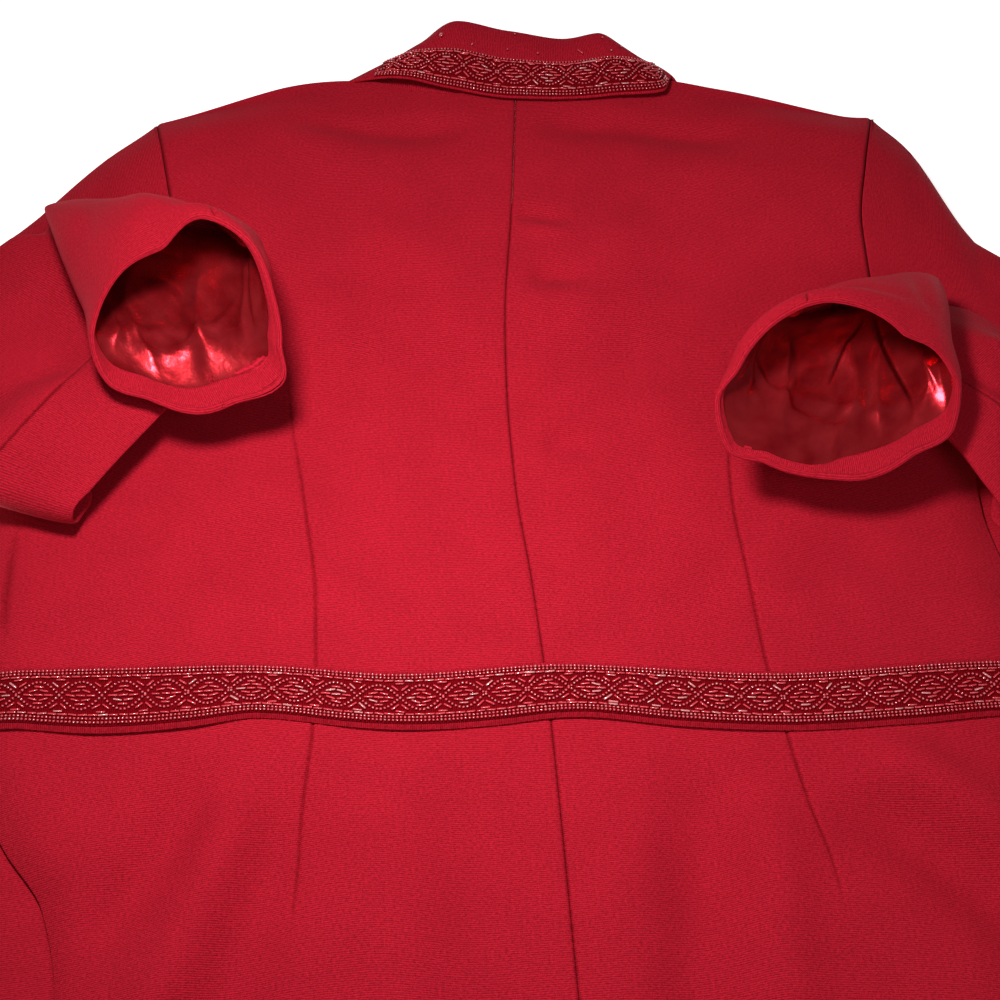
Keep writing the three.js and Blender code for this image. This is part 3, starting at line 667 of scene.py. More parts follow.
def front_panel(side):
    levels = levels_of(FRONT_STEP)
    outer = edge_of["front_left" if side < 0 else "front_right"]
    shares = np.repeat(spaced(*FRONT_ACROSS)[None, :], len(levels), axis=0)
    top = [dict(row) for row in FRONT_NECK]
    top[0]["out"] = CLOSING_HALF_GAP
    centre = lambda y: 0 * y + side * CLOSING_HALF_GAP
    x, y = panel(side, centre, FRONT_NECK_Y, outer, top, levels, shares)
    return np.stack([x, y, front_under(x, y)], axis=2)


# %% Both backs and both fronts
UP = np.array([0.0, 0.0, 1.0])
BACK_CLOTH = 1.8
FRONT_CLOTH = 2.0
pieces = {}
for side, hand in ((-1, "left"), (1, "right")):
    grid, seam = back_panel(side)
    pieces[f"back_{hand}"] = cloth(
        f"cloth_back_{hand}", grid, BACK_CLOTH, outward=UP, seam=seam)
    pieces[f"front_{hand}"] = cloth(
        f"cloth_front_{hand}", front_panel(side), FRONT_CLOTH, outward=-UP)
print("body pieces:", {k: len(v.data.polygons) for k, v in pieces.items()})

# %% [markdown]
# ## Sleeves
#
# A jacket sleeve has two pieces, a wide top sleeve and a narrow under sleeve.  It is
# drawn as sections along a path: out from the armhole, down, back over itself at the
# elbow fold, up the back, and over once more so that the cuff stands open.  Each fold
# is a half turn.  The last sections take on the limp shape of the rim.

# %% Sleeve tables
SLEEVE_COLUMNS = "fold out y z radius turn pitch wide deep"
MOUTH_COLUMNS = "angle radius"
LEFT_SLEEVE = {
    "sections": table(
        SLEEVE_COLUMNS,
        ("", 273, 249, 20.5, 0, 78, 0, 81, 8.5),
        ("", 296, 208, 20, 0, 54, 0, 81, 7),
        ("", 313, 161, 20, 0, 28, 0, 80, 6.5),
        ("elbow", 318, 146, 27.5, 7.5, 23, 0, 78, 5.4),
        ("", 309, 160, 35, 0, 27, 180, 79, 6.5),
        ("", 264, 222, 37, 0, 36, 180, 80, 6.5),
        ("", 234, 262, 38, 0, 29, 180, 76, 6.5),
        ("top", 217, 282, 47.5, 9.5, 14, 0, 65, 7.5),
        ("", 206, 260, 70, 0, 8, 40, 60, 24),
        ("", 192, 226, 75.5, 0, 3, 54, 53, 41),
        ("", 185, 210, 77, 0, 0, 58, 50, 49),
    ),
    "mouth": table(
        MOUTH_COLUMNS,
        (0, 52), (25, 46), (67, 38), (102, 51), (129, 50), (167, 47), (203, 54),
        (220, 65), (248, 57), (262, 57.5), (295, 54), (320, 60), (342, 57), (360, 52),
    ),
}
RIGHT_SLEEVE = {
    "sections": table(
        SLEEVE_COLUMNS,
        ("", 265, 238, 20.5, 0, 84, 0, 66, 9),
        ("", 292, 186, 20.5, 0, 58, 0, 70, 8),
        ("", 304, 138, 20, 0, 36, 0, 74, 7),
        ("elbow", 308, 126, 28.5, 8.5, 30, 0, 72, 7),
        ("", 294, 136, 37, 0, 34, 180, 64, 8),
        ("", 250, 168, 40, 0, 40, 180, 44, 11),
        ("", 216, 199, 40, 0, 32, 180, 46, 9),
        ("top", 190, 214, 49.5, 9.5, 16, 0, 46, 8),
        ("", 174, 192, 67, 0, 8, 40, 56, 24),
        ("", 165, 162, 70.5, 0, 3, 54, 61, 39),
        ("", 161, 146, 72, 0, 0, 58, 65, 47),
    ),
    "mouth": table(
        MOUTH_COLUMNS,
        (0, 65), (20, 58), (41, 47.5), (75, 48), (98, 50), (122, 51), (166, 57), (184, 67),
        (206, 68), (222, 56), (263, 48), (286, 50), (316, 53), (340, 65), (360, 65),
    ),
}
HIND_SEAM = 108.0            # the two sleeve seams, as angles round the sleeve
FORE_SEAM = 252.0
ARMHOLE_MIDDLE = (222, 286)
ARMHOLE_TURN = 100.0
ARMHOLE_GAP = 0.35
BACK_TO_FRONT = (-0.25, 0.25)
UNDERARM_FROM = (0.3, 1)     # where round the sleeve the underarm's loose cloth lies
UNDERARM_SLACK = 9.0
UNDERARM_HELD = 0.5
UNDERARM_CLIMB = 2.4
MOUTH_BLEND = 24.0
REST_GAP = 2.4
BESIDE_SINKS = 10.0          # how much lower a sleeve lies beside the back
BESIDE_REACH = (0, 46)
OFF_THE_BACK = (1, 9)
TABLE_GAP = 0.4
GIRTH_PER_DEGREE = 1.25
SEAM_PER_DEGREE = 1.15
FOLDS_START = (4, 30)        # folds fade in after the armhole and out before the rim
FOLDS_END = (6, 24)
UPPER_SIDE = (0, 0.4)
SLEEVE_UNEVEN = 0.3
RIM_BEHIND = 2.0
RIM_TURNS = (25, 55, 90, 125, 155, 180)
FACING_DEPTH = {
    "left": table("angle depth", (0, 8), (200, 8), (240, 9.5), (300, 9), (340, 8), (360, 8)),
    "right": table("angle depth", (0, 8), (150, 8), (180, 5), (200, 3.2), (245, 3.2),
                   (258, 5), (268, 8.5), (290, 10.5), (330, 9.5), (360, 8)),
}
FACING_ROWS = 10
FACING_IN = 4.4              # how far inside the sleeve's face the facing lies
RIM_IN = 2.9
FACING_EDGE_ROLL = 0.5
LINING_DEPTH = 82.0
LINING_ROWS = 62
LINING_UNDER_FACING = 1.2
LINING_SEWN_IN = 3.5         # how far inside the lining lies: sewn, loose, and at its end
LINING_LOOSE = 5.2
LINING_END_IN = 3.2
LINING_FREE_FROM = (0, 7)
LINING_FLAT_FROM = (54, 76)
LINING_CRUMPLED = 1.1
LINING_SEAM_DEEP = 1.2
CUFF_ANGLE_STEP = 1.5
SLEEVE_WALL = 1.3
TURN_RADIUS = 1.7

# %% Sleeve surfaces
FOLD_PITCHES = {"elbow": (25, 57, 90, 123, 155), "top": (155, 123, 90, 52)}


def unfolded(sections):
    rows = []
    for row in sections:
        if not row["fold"]:
            rows.append(dict(row))
            continue
        way = 1 if row["fold"] == "elbow" else -1
        head_out = math.sin(math.radians(row["turn"]))
        head_y = -math.cos(math.radians(row["turn"]))
        for pitch in FOLD_PITCHES[row["fold"]]:
            ahead = way * row["radius"] * math.sin(math.radians(pitch))
            below = way * row["radius"] * math.cos(math.radians(pitch))
            spot = {"out": row["out"] + ahead * head_out, "y": row["y"] + ahead * head_y}
            rows.append({**row, **spot, "z": row["z"] - below, "pitch": pitch})
    return rows


def measured(rows):
    """Gives each section its distance from the armhole along the sleeve."""
    place = lambda row: [row[name] for name in ("out", "y", "z")]
    run = math.dist(place(rows[0])[:2], ARMHOLE_MIDDLE)
    rows[0]["run"] = run
    for last, row in zip(rows, rows[1:]):
        run += math.dist(place(row), place(last))
        row["run"] = run
    return rows


class Sleeve:
    """The outer face of one sleeve, as points for a run from the armhole and an angle."""

    def __init__(self, side, tables, folds):
        self.side = side
        self.folds = folds
        self.rows = measured(unfolded(tables["sections"]))
        self.join = self.rows[0]["run"]
        self.mouth_run = self.rows[-1]["run"]
        names = ("out", "y", "z", "turn", "pitch", "wide", "deep")
        self.curve = {name: column(self.rows, "run", name) for name in names}
        self.rim = column(tables["mouth"], "angle", "radius")

    def frame_at(self, run):
        turn = lerp(ARMHOLE_TURN, self.curve["turn"](run), rise(run, 0, self.join))
        turn = np.radians(turn)
        pitch = np.radians(self.curve["pitch"](run))
        zero = np.zeros_like(turn)
        width = np.stack([self.side * np.cos(turn), np.sin(turn), zero], axis=-1)
        head = np.stack([self.side * np.sin(turn), -np.cos(turn), zero], axis=-1)
        depth = -np.sin(pitch)[..., None] * head
        depth[..., 2] += np.cos(pitch)
        return width, depth

    def section(self, run, angle):
        width, depth = self.frame_at(run)
        cos = np.cos(np.radians(angle))
        sin = np.sin(np.radians(angle))
        limp = rise(run, self.mouth_run - MOUTH_BLEND, self.mouth_run)
        rim = self.rim(np.mod(angle, 360))
        wide = lerp(self.curve["wide"](run), rim, limp) * cos
        deep = lerp(self.curve["deep"](run), rim, limp) * sin
        x = self.side * self.curve["out"](run)
        y = self.curve["y"](run)
        z = self.curve["z"](run)
        middle = np.stack(np.broadcast_arrays(x, y, z), axis=-1)
        return middle + wide[..., None] * width + deep[..., None] * depth

    def settled(self, p):
        """Keeps the sleeve above the back, or above the table where it lies beside it."""
        x, y, z = p[..., 0], p[..., 1], p[..., 2]
        beyond = np.abs(x) - back_edge(x, y)
        sunk = z - BESIDE_SINKS * rise(beyond, *BESIDE_REACH) * (y < SHOULDER_Y)
        lies_on = back_face(x, y) + REST_GAP
        floor = lerp(lies_on, TABLE_GAP, rise(beyond, *OFF_THE_BACK))
        return np.stack([x, y, np.maximum(sunk, floor)], axis=-1)

    def armhole(self, angle):
        """Where the sleeve is sewn in: the back's edge above and the front's below."""
        y = lerp(UNDERARM_Y, SHOULDER_Y, (1 + np.cos(np.radians(angle))) / 2)
        x = self.side * edge_of["back_left" if self.side < 0 else "back_right"](y)
        lean = rise(np.sin(np.radians(angle)), *BACK_TO_FRONT)
        z = lerp(front_under(x, y), back_lie(x, y), lean)
        return np.stack([x + self.side * ARMHOLE_GAP, y, z], axis=-1)

    def face(self, run, angle):
        """Points of the outer face.  Before the first section it grows out of the armhole."""
        run, angle = np.broadcast_arrays(np.asarray(run, float), np.asarray(angle, float))
        free = self.settled(self.section(np.maximum(run, self.join), angle))
        share = np.clip(run / self.join, 0, 1)
        start = self.armhole(angle)
        underarm = rise(-np.cos(np.radians(angle)), *UNDERARM_FROM)
        flat = rise(share, 0, 1) * (1 - UNDERARM_HELD * underarm * (1 - share))
        climb = lerp(rise(share, 0, 1), rise(share * UNDERARM_CLIMB, 0, 1), underarm)
        slack = self.side * UNDERARM_SLACK * underarm * np.sin(np.pi * share)
        x = lerp(start[..., 0], free[..., 0], flat) + slack
        y = lerp(start[..., 1], free[..., 1], flat)
        z = lerp(start[..., 2], free[..., 2], climb)
        joined = np.stack([x, y, z], axis=-1)
        return np.where((run < self.join)[..., None], joined, free)

    def outward(self, run, angle):
        width, depth = self.frame_at(np.asarray(run, float))
        cos = np.cos(np.radians(angle))[..., None]
        sin = np.sin(np.radians(angle))[..., None]
        return width * cos + depth * sin

    def relief(self, run, angle):
        """Folds of the cloth, outwards, laid in run and girth."""
        girth = angle * GIRTH_PER_DEGREE
        uneven = SLEEVE_UNEVEN * ripple(run, girth, 70, 31 + self.side)
        return creased(run, girth, self.folds) + uneven

    def cloth_grid(self, runs, angles):
        """The grid of one sleeve piece, and how much painted shade each point gets in a seam's
        line.
        """
        run, angle = np.meshgrid(runs, angles, indexing="ij")
        from_rim = self.mouth_run - run
        bumps = self.relief(run, angle) * rise(run, *FOLDS_START) * rise(from_rim, *FOLDS_END)
        from_armhole = run / ARMHOLE_WIDER
        upper = rise(np.sin(np.radians(angle)), *UPPER_SIDE)
        bumps = bumps + ARMHOLE_GROOVE * seam_groove(from_armhole) * upper
        degrees = np.minimum(np.abs(angle - angles[0]), np.abs(angle - angles[-1]))
        near = degrees * SEAM_PER_DEGREE
        bumps = bumps + SLEEVE_GROOVE * seam_groove(near) + pucker(near, run, 41)
        # Painted shade along the sleeve's seams and its armhole.
        seam = SLEEVE_SEAM_SHADE * in_seam(near) + in_seam(from_armhole)
        return self.face(run, angle) + bumps[..., None] * self.outward(run, angle), seam

    def turned_in(self, angles):
        """The rim, where the cloth turns over into the cuff."""
        run = np.full(len(angles), self.mouth_run)
        edge = self.face(run, angles)
        out = self.outward(run, angles)
        ahead = unit(edge - self.face(run - RIM_BEHIND, angles))
        rows = []
        for turned in RIM_TURNS:
            bend = math.radians(turned)
            rows.append(edge + ahead * TURN_RADIUS * math.sin(bend)
                        - out * TURN_RADIUS * (1 - math.cos(bend)))
        return np.stack(rows)


# %% [markdown]
# The folds of a sleeve are laid on its own surface: how far from the armhole, and how far
# round.  The elbow fold crushes the cloth into short deep hollows, and the limp cuff has a
# few long ones that run towards its rim.  The satin lining is folded far more, and on the
# right its two seams are shallow dents darkened with painted shade.

# %% Folds of the sleeves
FOLD_COLUMNS = "x0 y0 x1 y1 bend wide high"
LEFT_FOLDS = table(
    FOLD_COLUMNS,
    (170, -60, 230, -96, 4, 9, -2.0),
    (190, -120, 252, -112, 4, 8, -2.4),
    (262, -130, 330, -112, -6, 12, -1.6),
    (250, -86, 320, -70, 6, 12, 1.6),
    (300, -100, 380, -104, 5, 14, -1.2),
    (366, -60, 410, -40, 4, 9, 1.6),
    (380, -20, 430, -46, -3, 8, -1.5),
    (402, 60, 452, 40, 4, 9, -1.6),
    (414, 100, 470, 96, 4, 10, 1.4),
    (404, 130, 452, 148, -4, 9, -1.6),
)
RIGHT_FOLDS = table(
    FOLD_COLUMNS,
    (150, -60, 230, -96, 4, 9, -2.0),
    (170, -130, 262, -112, 4, 8, -2.6),
    (246, -116, 340, -122, -6, 9, -3.0),
    (240, -86, 320, -70, 6, 12, 1.6),
    (346, -60, 396, -40, 4, 9, 1.6),
    (372, -20, 420, -46, -3, 8, -1.5),
    (392, 60, 442, 40, 4, 9, -1.6),
    (404, 100, 460, 96, 4, 10, 1.4),
    (394, 130, 442, 148, -4, 9, -1.6),
)

# The lining's folds and seams, as millimetres behind the rim and degrees round the cuff.
LINING_FOLDS = table(
    FOLD_COLUMNS,
    (-62, 150, -14, 196, 6, 9, 4.5),
    (-58, 190, -16, 214, -5, 8, 3.9),
    (-60, 222, -10, 236, 8, 12, 5.1),
    (-50, 262, -12, 240, -6, 9, 3.3),
    (-60, 268, -20, 290, 6, 14, 4.8),
    (-34, 292, -10, 268, 4, 7, 2.7),
    (-60, 310, -12, 306, -7, 10, 4.2),
    (-44, 330, -14, 350, 5, 8, 3.3),
    (-60, 352, -16, 334, 6, 12, 4.5),
    (-30, 246, -12, 322, 3, 5, 2.1),
    (-60, 380, -14, 404, 6, 14, 4.5),
    (-56, 438, -18, 420, -6, 12, 3.9),
    (-60, 112, -14, 132, 6, 13, 4.5),
    (-40, 204, -18, 300, -8, 4, 2.4),
)
LINING_SEAMS = table(
    FOLD_COLUMNS,
    (-72, 285, -34, 268, 0, 1.5, 1),
    (-72, 287, -14, 326, 0, 1.5, 1),
)

# %% Sleeve pieces
RUN_STEP = 3.6
GIRTH_STEP = 3.0
SLEEVE_SEAM_GAP = 0.12       # half of it, in degrees
FINE_START = (0, 0.8, 1.9)
CUFF_WALL = 0.7


def sleeve_pieces(side, hand, tables, folds):
    sleeve = Sleeve(side, tables, folds)
    runs = np.arange(RUN_STEP, sleeve.mouth_run, RUN_STEP)
    runs = np.concatenate([FINE_START, runs[:-1], [sleeve.mouth_run]])
    made = {}
    for name, seam_before, seam_after in (
        ("top_sleeve", FORE_SEAM - 360, HIND_SEAM),
        ("under_sleeve", HIND_SEAM, FORE_SEAM),
    ):
        start = seam_before + SLEEVE_SEAM_GAP
        end = seam_after - SLEEVE_SEAM_GAP
        girth = (end - start) * SEAM_PER_DEGREE
        angles = lerp(start, end, spaced(girth, GIRTH_STEP * SEAM_PER_DEGREE))
        grid, seam = sleeve.cloth_grid(runs, angles)
        turned = sleeve.turned_in(angles)
        grid = np.concatenate([grid, turned])
        seam = np.concatenate([seam, np.zeros(turned.shape[:2])])
        all_runs = np.append(runs, [runs[-1]] * len(turned))
        away = sleeve.outward(all_runs[:, None], angles[None, :])
        made[name] = cloth(f"cloth_{name}_{hand}", grid, SLEEVE_WALL, outward=away, seam=seam)
    made.update(cuff_inside(sleeve, hand))
    return sleeve, made


def cuff_inside(sleeve, hand):
    """The crepe turned into the cuff, and the lining sewn to it."""
    angles = np.arange(0, 360, CUFF_ANGLE_STEP)[None, :]
    facing_end = sleeve.mouth_run - column(FACING_DEPTH[hand], "angle", "depth")(angles)
    shares = np.linspace(0, 1, FACING_ROWS)[:, None]
    facing_runs = lerp(facing_end, sleeve.mouth_run - 0.1, shares)
    turned = rise(facing_runs, sleeve.mouth_run - 3, sleeve.mouth_run)
    rolled = FACING_EDGE_ROLL * (1 - rise(facing_runs - facing_end, 0, 2))
    facing_in = lerp(FACING_IN, RIM_IN, turned) - rolled
    facing = ring_inside(sleeve, facing_runs, angles, facing_in)

    shares = np.linspace(0, 1, LINING_ROWS)[:, None]
    lining_runs = lerp(facing_end - LINING_DEPTH, facing_end + LINING_UNDER_FACING, shares)
    into = facing_end - lining_runs
    folds, seam = lining_wrinkles(lining_runs - sleeve.mouth_run, angles, sleeve.side)
    lining_in = lerp(LINING_SEWN_IN, LINING_LOOSE + folds, rise(into, *LINING_FREE_FROM))
    lining_in = lerp(lining_in, LINING_END_IN, rise(into, *LINING_FLAT_FROM))
    lining = ring_inside(sleeve, lining_runs, angles, lining_in)

    inside = lambda grid: grid.mean(axis=(0, 1))[None, None, :] - grid
    make = lambda name, grid, seam: cloth(
        f"cloth_{name}_{hand}", grid.transpose(1, 0, 2), CUFF_WALL, looped=True,
        outward=inside(grid).transpose(1, 0, 2), seam=seam)
    return {
        "cuff_facing": make("cuff_facing", facing, 0.0),
        "sleeve_lining": make("sleeve_lining", lining, seam.T),
    }


def ring_inside(sleeve, run, angle, inward):
    run, angle, inward = np.broadcast_arrays(run, angle, inward)
    return sleeve.face(run, angle) - inward[..., None] * sleeve.outward(run, angle)


def lining_wrinkles(from_rim, angle, side):
    """Satin is cut too big for the sleeve, so it lies in flat planes with sharp backs."""
    girth = np.mod(angle - 90, 360) + 90 + 12 * side
    crumpled = LINING_CRUMPLED * np.abs(ripple(from_rim, girth, 52, 61 + side)) - 0.9
    folds = crumpled + creased(from_rim, girth, LINING_FOLDS, sharp=True)
    # The right lining's two seam lines: shallow dents, darkened with painted shade.
    seam = creased(from_rim, girth, LINING_SEAMS) * (side > 0)
    return folds - LINING_SEAM_DEEP * seam, seam


sleeves = {}
for side, hand, tables, folds in (
    (-1, "left", LEFT_SLEEVE, LEFT_FOLDS), (1, "right", RIGHT_SLEEVE, RIGHT_FOLDS),
):
    sleeves[hand], made = sleeve_pieces(side, hand, tables, folds)
    pieces.update({f"{name}_{hand}": piece for name, piece in made.items()})
    print(hand, "sleeve, armhole to rim:", round(sleeves[hand].mouth_run), "mm")

# %% [markdown]
# ## Collar
#
# The collar is one long piece that stands up from the neck seam, folds over and falls on
# the back.  Its sections run from one front end round the neck to the other.  Each has
# three lines, the fold, the crest of the fall and the free edge, and the way it faces.

# %% Collar table
COLLAR_NAMES = "rollX rollY rollZ crestX crestY crestZ edgeX edgeY edgeZ facing"
COLLAR = table(
    COLLAR_NAMES,
    (-8, 333, 0, -22, 314, 0, -38, 292, 0, 180),
    (-44, 353, 0, -64, 338, 0, -82, 320, 0, 180),
    (-74, 388, 0.2, -94, 380, 0, -114, 372, 0, 180),
    (-86, 424, 3, -104, 421, 0.8, -124, 408, 0, 155),
    (-82, 442, 9, -94, 440, 12, -106, 430.5, 15.5, 95),
    (-70, 451, 16, -77, 446, 20.5, -85, 431.5, 21, 50),
    (-56, 459, 23, -60, 447, 28.5, -65, 427, 25, 15),
    (-33, 467, 33, -36, 446, 32.5, -40, 421, 22, 0),
    (0, 463, 27, 0, 440, 27.5, -1, 412, 20.5, 0),
    (34, 456, 26, 33, 436, 27.5, 32, 410, 20.5, 0),
    (56, 456, 30, 60, 438, 29.5, 66, 411, 21.5, 8),
    (75, 449, 19, 84, 439, 24.5, 95, 417, 23, 25),
    (81, 447, 13, 92, 443, 17.8, 102, 434.5, 18.6, 60),
    (86, 442, 8, 98, 439, 8.5, 109, 434.5, 8.5, 95),
    (86, 424, 3, 104, 421, 0.8, 124, 408, 0, 155),
    (74, 388, 0.2, 94, 380, 0, 114, 372, 0, 180),
    (44, 353, 0, 64, 338, 0, 82, 320, 0, 180),
    (8, 333, 0, 22, 314, 0, 38, 292, 0, 180),
)
COLLAR_CENTRE = 8
for index, row in enumerate(COLLAR):
    row["place"] = index - COLLAR_CENTRE
collar_curve = {name: column(COLLAR, "place", name) for name in COLLAR_NAMES.split()}
COLLAR_FROM = COLLAR[0]["place"]
COLLAR_TO = COLLAR[-1]["place"]
COLLAR_CLOTH = 1.7
COLLAR_SOFT = 0.35
STAND_CLOTH = 1.4
STAND_REACH = 3.75
STAND_SHARE = 0.45
NECK_GAP = 1.6
STAND_DROP = 4.4

# %% Collar surfaces


def collar_out(place):
    facing = np.radians(collar_curve["facing"](place))
    side = np.sign(place) * 0.45
    return np.stack([side * np.sin(facing), 0.89 * np.sin(facing), np.cos(facing)], axis=-1)


def collar_point(place, down, over=0.0):
    place, down, over = np.broadcast_arrays(place, down, over)
    at = lambda line: np.stack([collar_curve[line + axis](place) for axis in "XYZ"], axis=-1)
    roll_share = ((1 - down) * (1 - 2 * down))[..., None]
    crest_share = (4 * down * (1 - down))[..., None]
    edge_share = (down * (2 * down - 1))[..., None]
    point = at("roll") * roll_share + at("crest") * crest_share + at("edge") * edge_share
    return point + collar_out(place) * over[..., None]


def stand_point(place, up):
    place, up = np.broadcast_arrays(np.asarray(place, float), np.asarray(up, float))
    share = STAND_SHARE * np.abs(place) / STAND_REACH
    x = np.where(place == 0, 0, np.sign(place) * column(BACK_NECK, "share", "out")(share))
    y = column(BACK_NECK, "share", "y")(share) + NECK_GAP
    seam = np.stack([x, y, back_lie(x, y) - WALL], axis=-1)
    roll = collar_point(place, 0.03)
    roll = roll - np.array([0, 0, COLLAR_WALL + STAND_DROP])
    return lerp(seam, roll, up[..., None])


def collar_face(place, down):
    """The collar with its soft unevenness, which fades out towards the front ends."""
    fading = rise(3.6 - np.abs(place), 0, 0.8)
    soft = COLLAR_SOFT * ripple(place * 20, down * 45, 46, 71) * fading
    return collar_point(place, down, soft)


# %% Collar pieces
collar_places = np.linspace(COLLAR_FROM, COLLAR_TO, 200)[:, None]
collar_downs = spaced(50, 1.8, fine=(0.5, 1.4, 2.6))[None, :]
fall = collar_face(collar_places, collar_downs)
fall_out = np.broadcast_to(collar_out(collar_places[:, 0])[:, None, :], fall.shape)
pieces["collar_fall"] = cloth("cloth_collar_fall", fall, COLLAR_CLOTH, outward=fall_out)

stand_places = np.linspace(-STAND_REACH, STAND_REACH, 80)[:, None]
stand = stand_point(stand_places, np.linspace(0, 1, 12)[None, :])
pieces["collar_stand"] = cloth("cloth_collar_stand", stand, STAND_CLOTH, outward=UP)
print("collar fold is", round(float(fall[:, 0, 2].max()), 1), "mm high at most")

# %% [markdown]
# ## Belt
#
# The belt is a flat strap that goes right round the waist, under the fronts too.  It has
# a fine corded piping along its upper edge, and its lower edge lies loose, a little off
# the cloth, so a thin shadow follows it.  Painted shade darkens its lower border, where it
# curls away from the light, and the top edge along the piping is drawn a little darker too.

# %% Belt strap
BELT_LOWER = table(
    "x drop",
    (-320, -1), (-270, 2), (-228, 6), (-185, 3.5), (-148, -2), (-100, 0), (-30, 1),
    (18, -1.5), (70, 1), (140, 1), (185, 1.5), (250, -1), (320, -1),
)
belt_lower = column(BELT_LOWER, "x", "drop")
BELT_TURN = 4.8
BELT_CLOTH = 1.25
BELT_MIDDLE_Z = 6.0
BELT_SIDE = {
    -1: float(edge_of["front_left"](0.0)) - 4,
    1: float(edge_of["front_right"](0.0)) - 4,
}
PIPING = 1.0
PIPING_AT = 0.975            # shares of the belt's width, from its lower edge up
PIPING_WIDE = 0.018
CURL_FROM = 0.1
CURL = 2.2


def belt_lift(share, x):
    """Height of the strap's face over its flat place, across its width."""
    piping = PIPING * np.exp(-(((share - PIPING_AT) / PIPING_WIDE) ** 2))
    wavy = 0.9 + 1.4 * rise(ripple(x, 0 * x, 120, 81), -0.4, 1.2)
    free = wavy + 0.25 * np.maximum(belt_lower(x), 0)
    curled = CURL * np.maximum(0, CURL_FROM - share) / CURL_FROM
    return piping + (1 - share) ** 3 * free - curled * (1 - share)


def across_belt(x, share):
    return belt_middle(x) + (share - 0.5) * BELT_WIDTH


def belt_back(x, share):
    y = across_belt(x, share) - belt_lower(x) * (1 - share) ** 1.3
    z = back_face(x, y) + BELT_GAP + BELT_THICK + belt_lift(share, x)
    return np.stack(np.broadcast_arrays(x, y, z), axis=-1)


def belt_round(side, turned, share):
    y = across_belt(side * edge_of["front_right"](0.0), share)
    edge = edge_of["front_left" if side < 0 else "front_right"](y)
    reach = BELT_TURN + BELT_THICK
    x = side * (edge - 1 + reach * np.sin(np.radians(turned)))
    z = BELT_THICK + BELT_TURN + reach * np.cos(np.radians(turned))
    return np.stack(np.broadcast_arrays(x, y, z), axis=-1)


def belt_front(x, share):
    y = across_belt(x, share)
    return np.stack(np.broadcast_arrays(x, y, 0.05 + 0 * y), axis=-1)


# %% The strap, once round
belt_shares = spaced(BELT_WIDTH, 2.4, fine=(0.3, 0.7, 1.2, 1.8))[None, :]
turns = np.linspace(15, 178, 14)[:, None]
belt_grid = np.concatenate([
    belt_back(np.linspace(-BELT_SIDE[-1], BELT_SIDE[1], 260)[:, None], belt_shares),
    belt_round(1, turns, belt_shares),
    belt_front(np.linspace(BELT_SIDE[1], -BELT_SIDE[-1], 60)[:, None], belt_shares),
    belt_round(-1, turns[::-1], belt_shares),
])
belt_out = np.zeros_like(belt_grid)
belt_out[..., 2] = np.sign(belt_grid[..., 2] - BELT_MIDDLE_Z)
# Painted shade darkens the lower border, where it curls away from the light; the top edge by the
# piping is drawn a little darker too.
lower_border_shade = 0.55 * (1 - rise(belt_shares, 0.06, 0.16))
upper_border = 0.3 * rise(belt_shares, 0.93, 0.96)
pieces["belt"] = cloth("cloth_belt", belt_grid, BELT_CLOTH, looped=True,
                       outward=belt_out, seam=lower_border_shade + upper_border)
print("belt strap:", len(pieces["belt"].data.polygons), "faces")

# %% [markdown]
# ## Beadwork
#
# Two kinds of glass bead are sewn on: tiny round seed beads in rows, and bugles, which
# are short glass tubes laid end to end.  Two wavy lines of seed beads cross each other
# again and again, and the eyes that they make are filled with bugles.  One function
# draws the pattern flat, along and across, and another lays it on a surface.

# %% The pattern, drawn flat
GROUND_THICK = 0.35
SEED_PITCH = 2.05
SEED_RADIUS = 0.8
BUGLE_LONG = 4.7
BUGLE_GAP = 0.5
BUGLE_RADIUS = 0.62
BUGLES_STOP = 2.0            # how far from a band's end the last bugle may be
EYE_PITCH = 21.8
EYE_HALF = 6.8
BELT_ROWS = table(
    "across kind",
    (12.9, "seed"), (11.2, "seed"), (9.5, "bugle"),
    (-9.5, "bugle"), (-11.3, "seed"), (-13.1, "seed"),
)
COLLAR_ROWS = table(
    "across kind",
    (10.6, "seed"), (9.0, "bugle"), (-9.3, "bugle"), (-11.2, "seed"), (-13.0, "seed"),
)

# One eye has a long row through its middle and shorter ones that bend with it.  The
# three-cornered spaces where the two lines cross have three bugles each.
EYE_BUGLES = table(
    "along across turn",
    (-5.3, 0, 0), (0, 0, 0), (5.3, 0, 0), (-2.8, 2.2, 12), (2.8, 2.2, -12),
    (-2.8, -2.2, -12), (2.8, -2.2, 12), (0, 4.3, 0), (0, -4.3, 0),
)
CORNER_BUGLES = table(
    "along across turn",
    (0, -8.0, 0), (-2.5, -5.4, 38), (2.5, -5.4, -38),
    (0, 8.0, 0), (-2.5, 5.4, -38), (2.5, 5.4, 38),
)


def seeds_along(curve, start, end):
    """Places SEED_PITCH apart along a curve that gives across for along."""
    fine = np.linspace(start, end, int((end - start) * 8))
    path = np.stack([fine, curve(fine)], axis=1)
    run = np.concatenate([[0], np.cumsum(np.linalg.norm(np.diff(path, axis=0), axis=1))])
    want = np.arange(0, run[-1], SEED_PITCH)
    return np.stack([np.interp(want, run, path[:, i]) for i in (0, 1)], axis=1)


def bugles_at(rows, middle):
    return [(middle + row["along"], row["across"], row["turn"]) for row in rows]


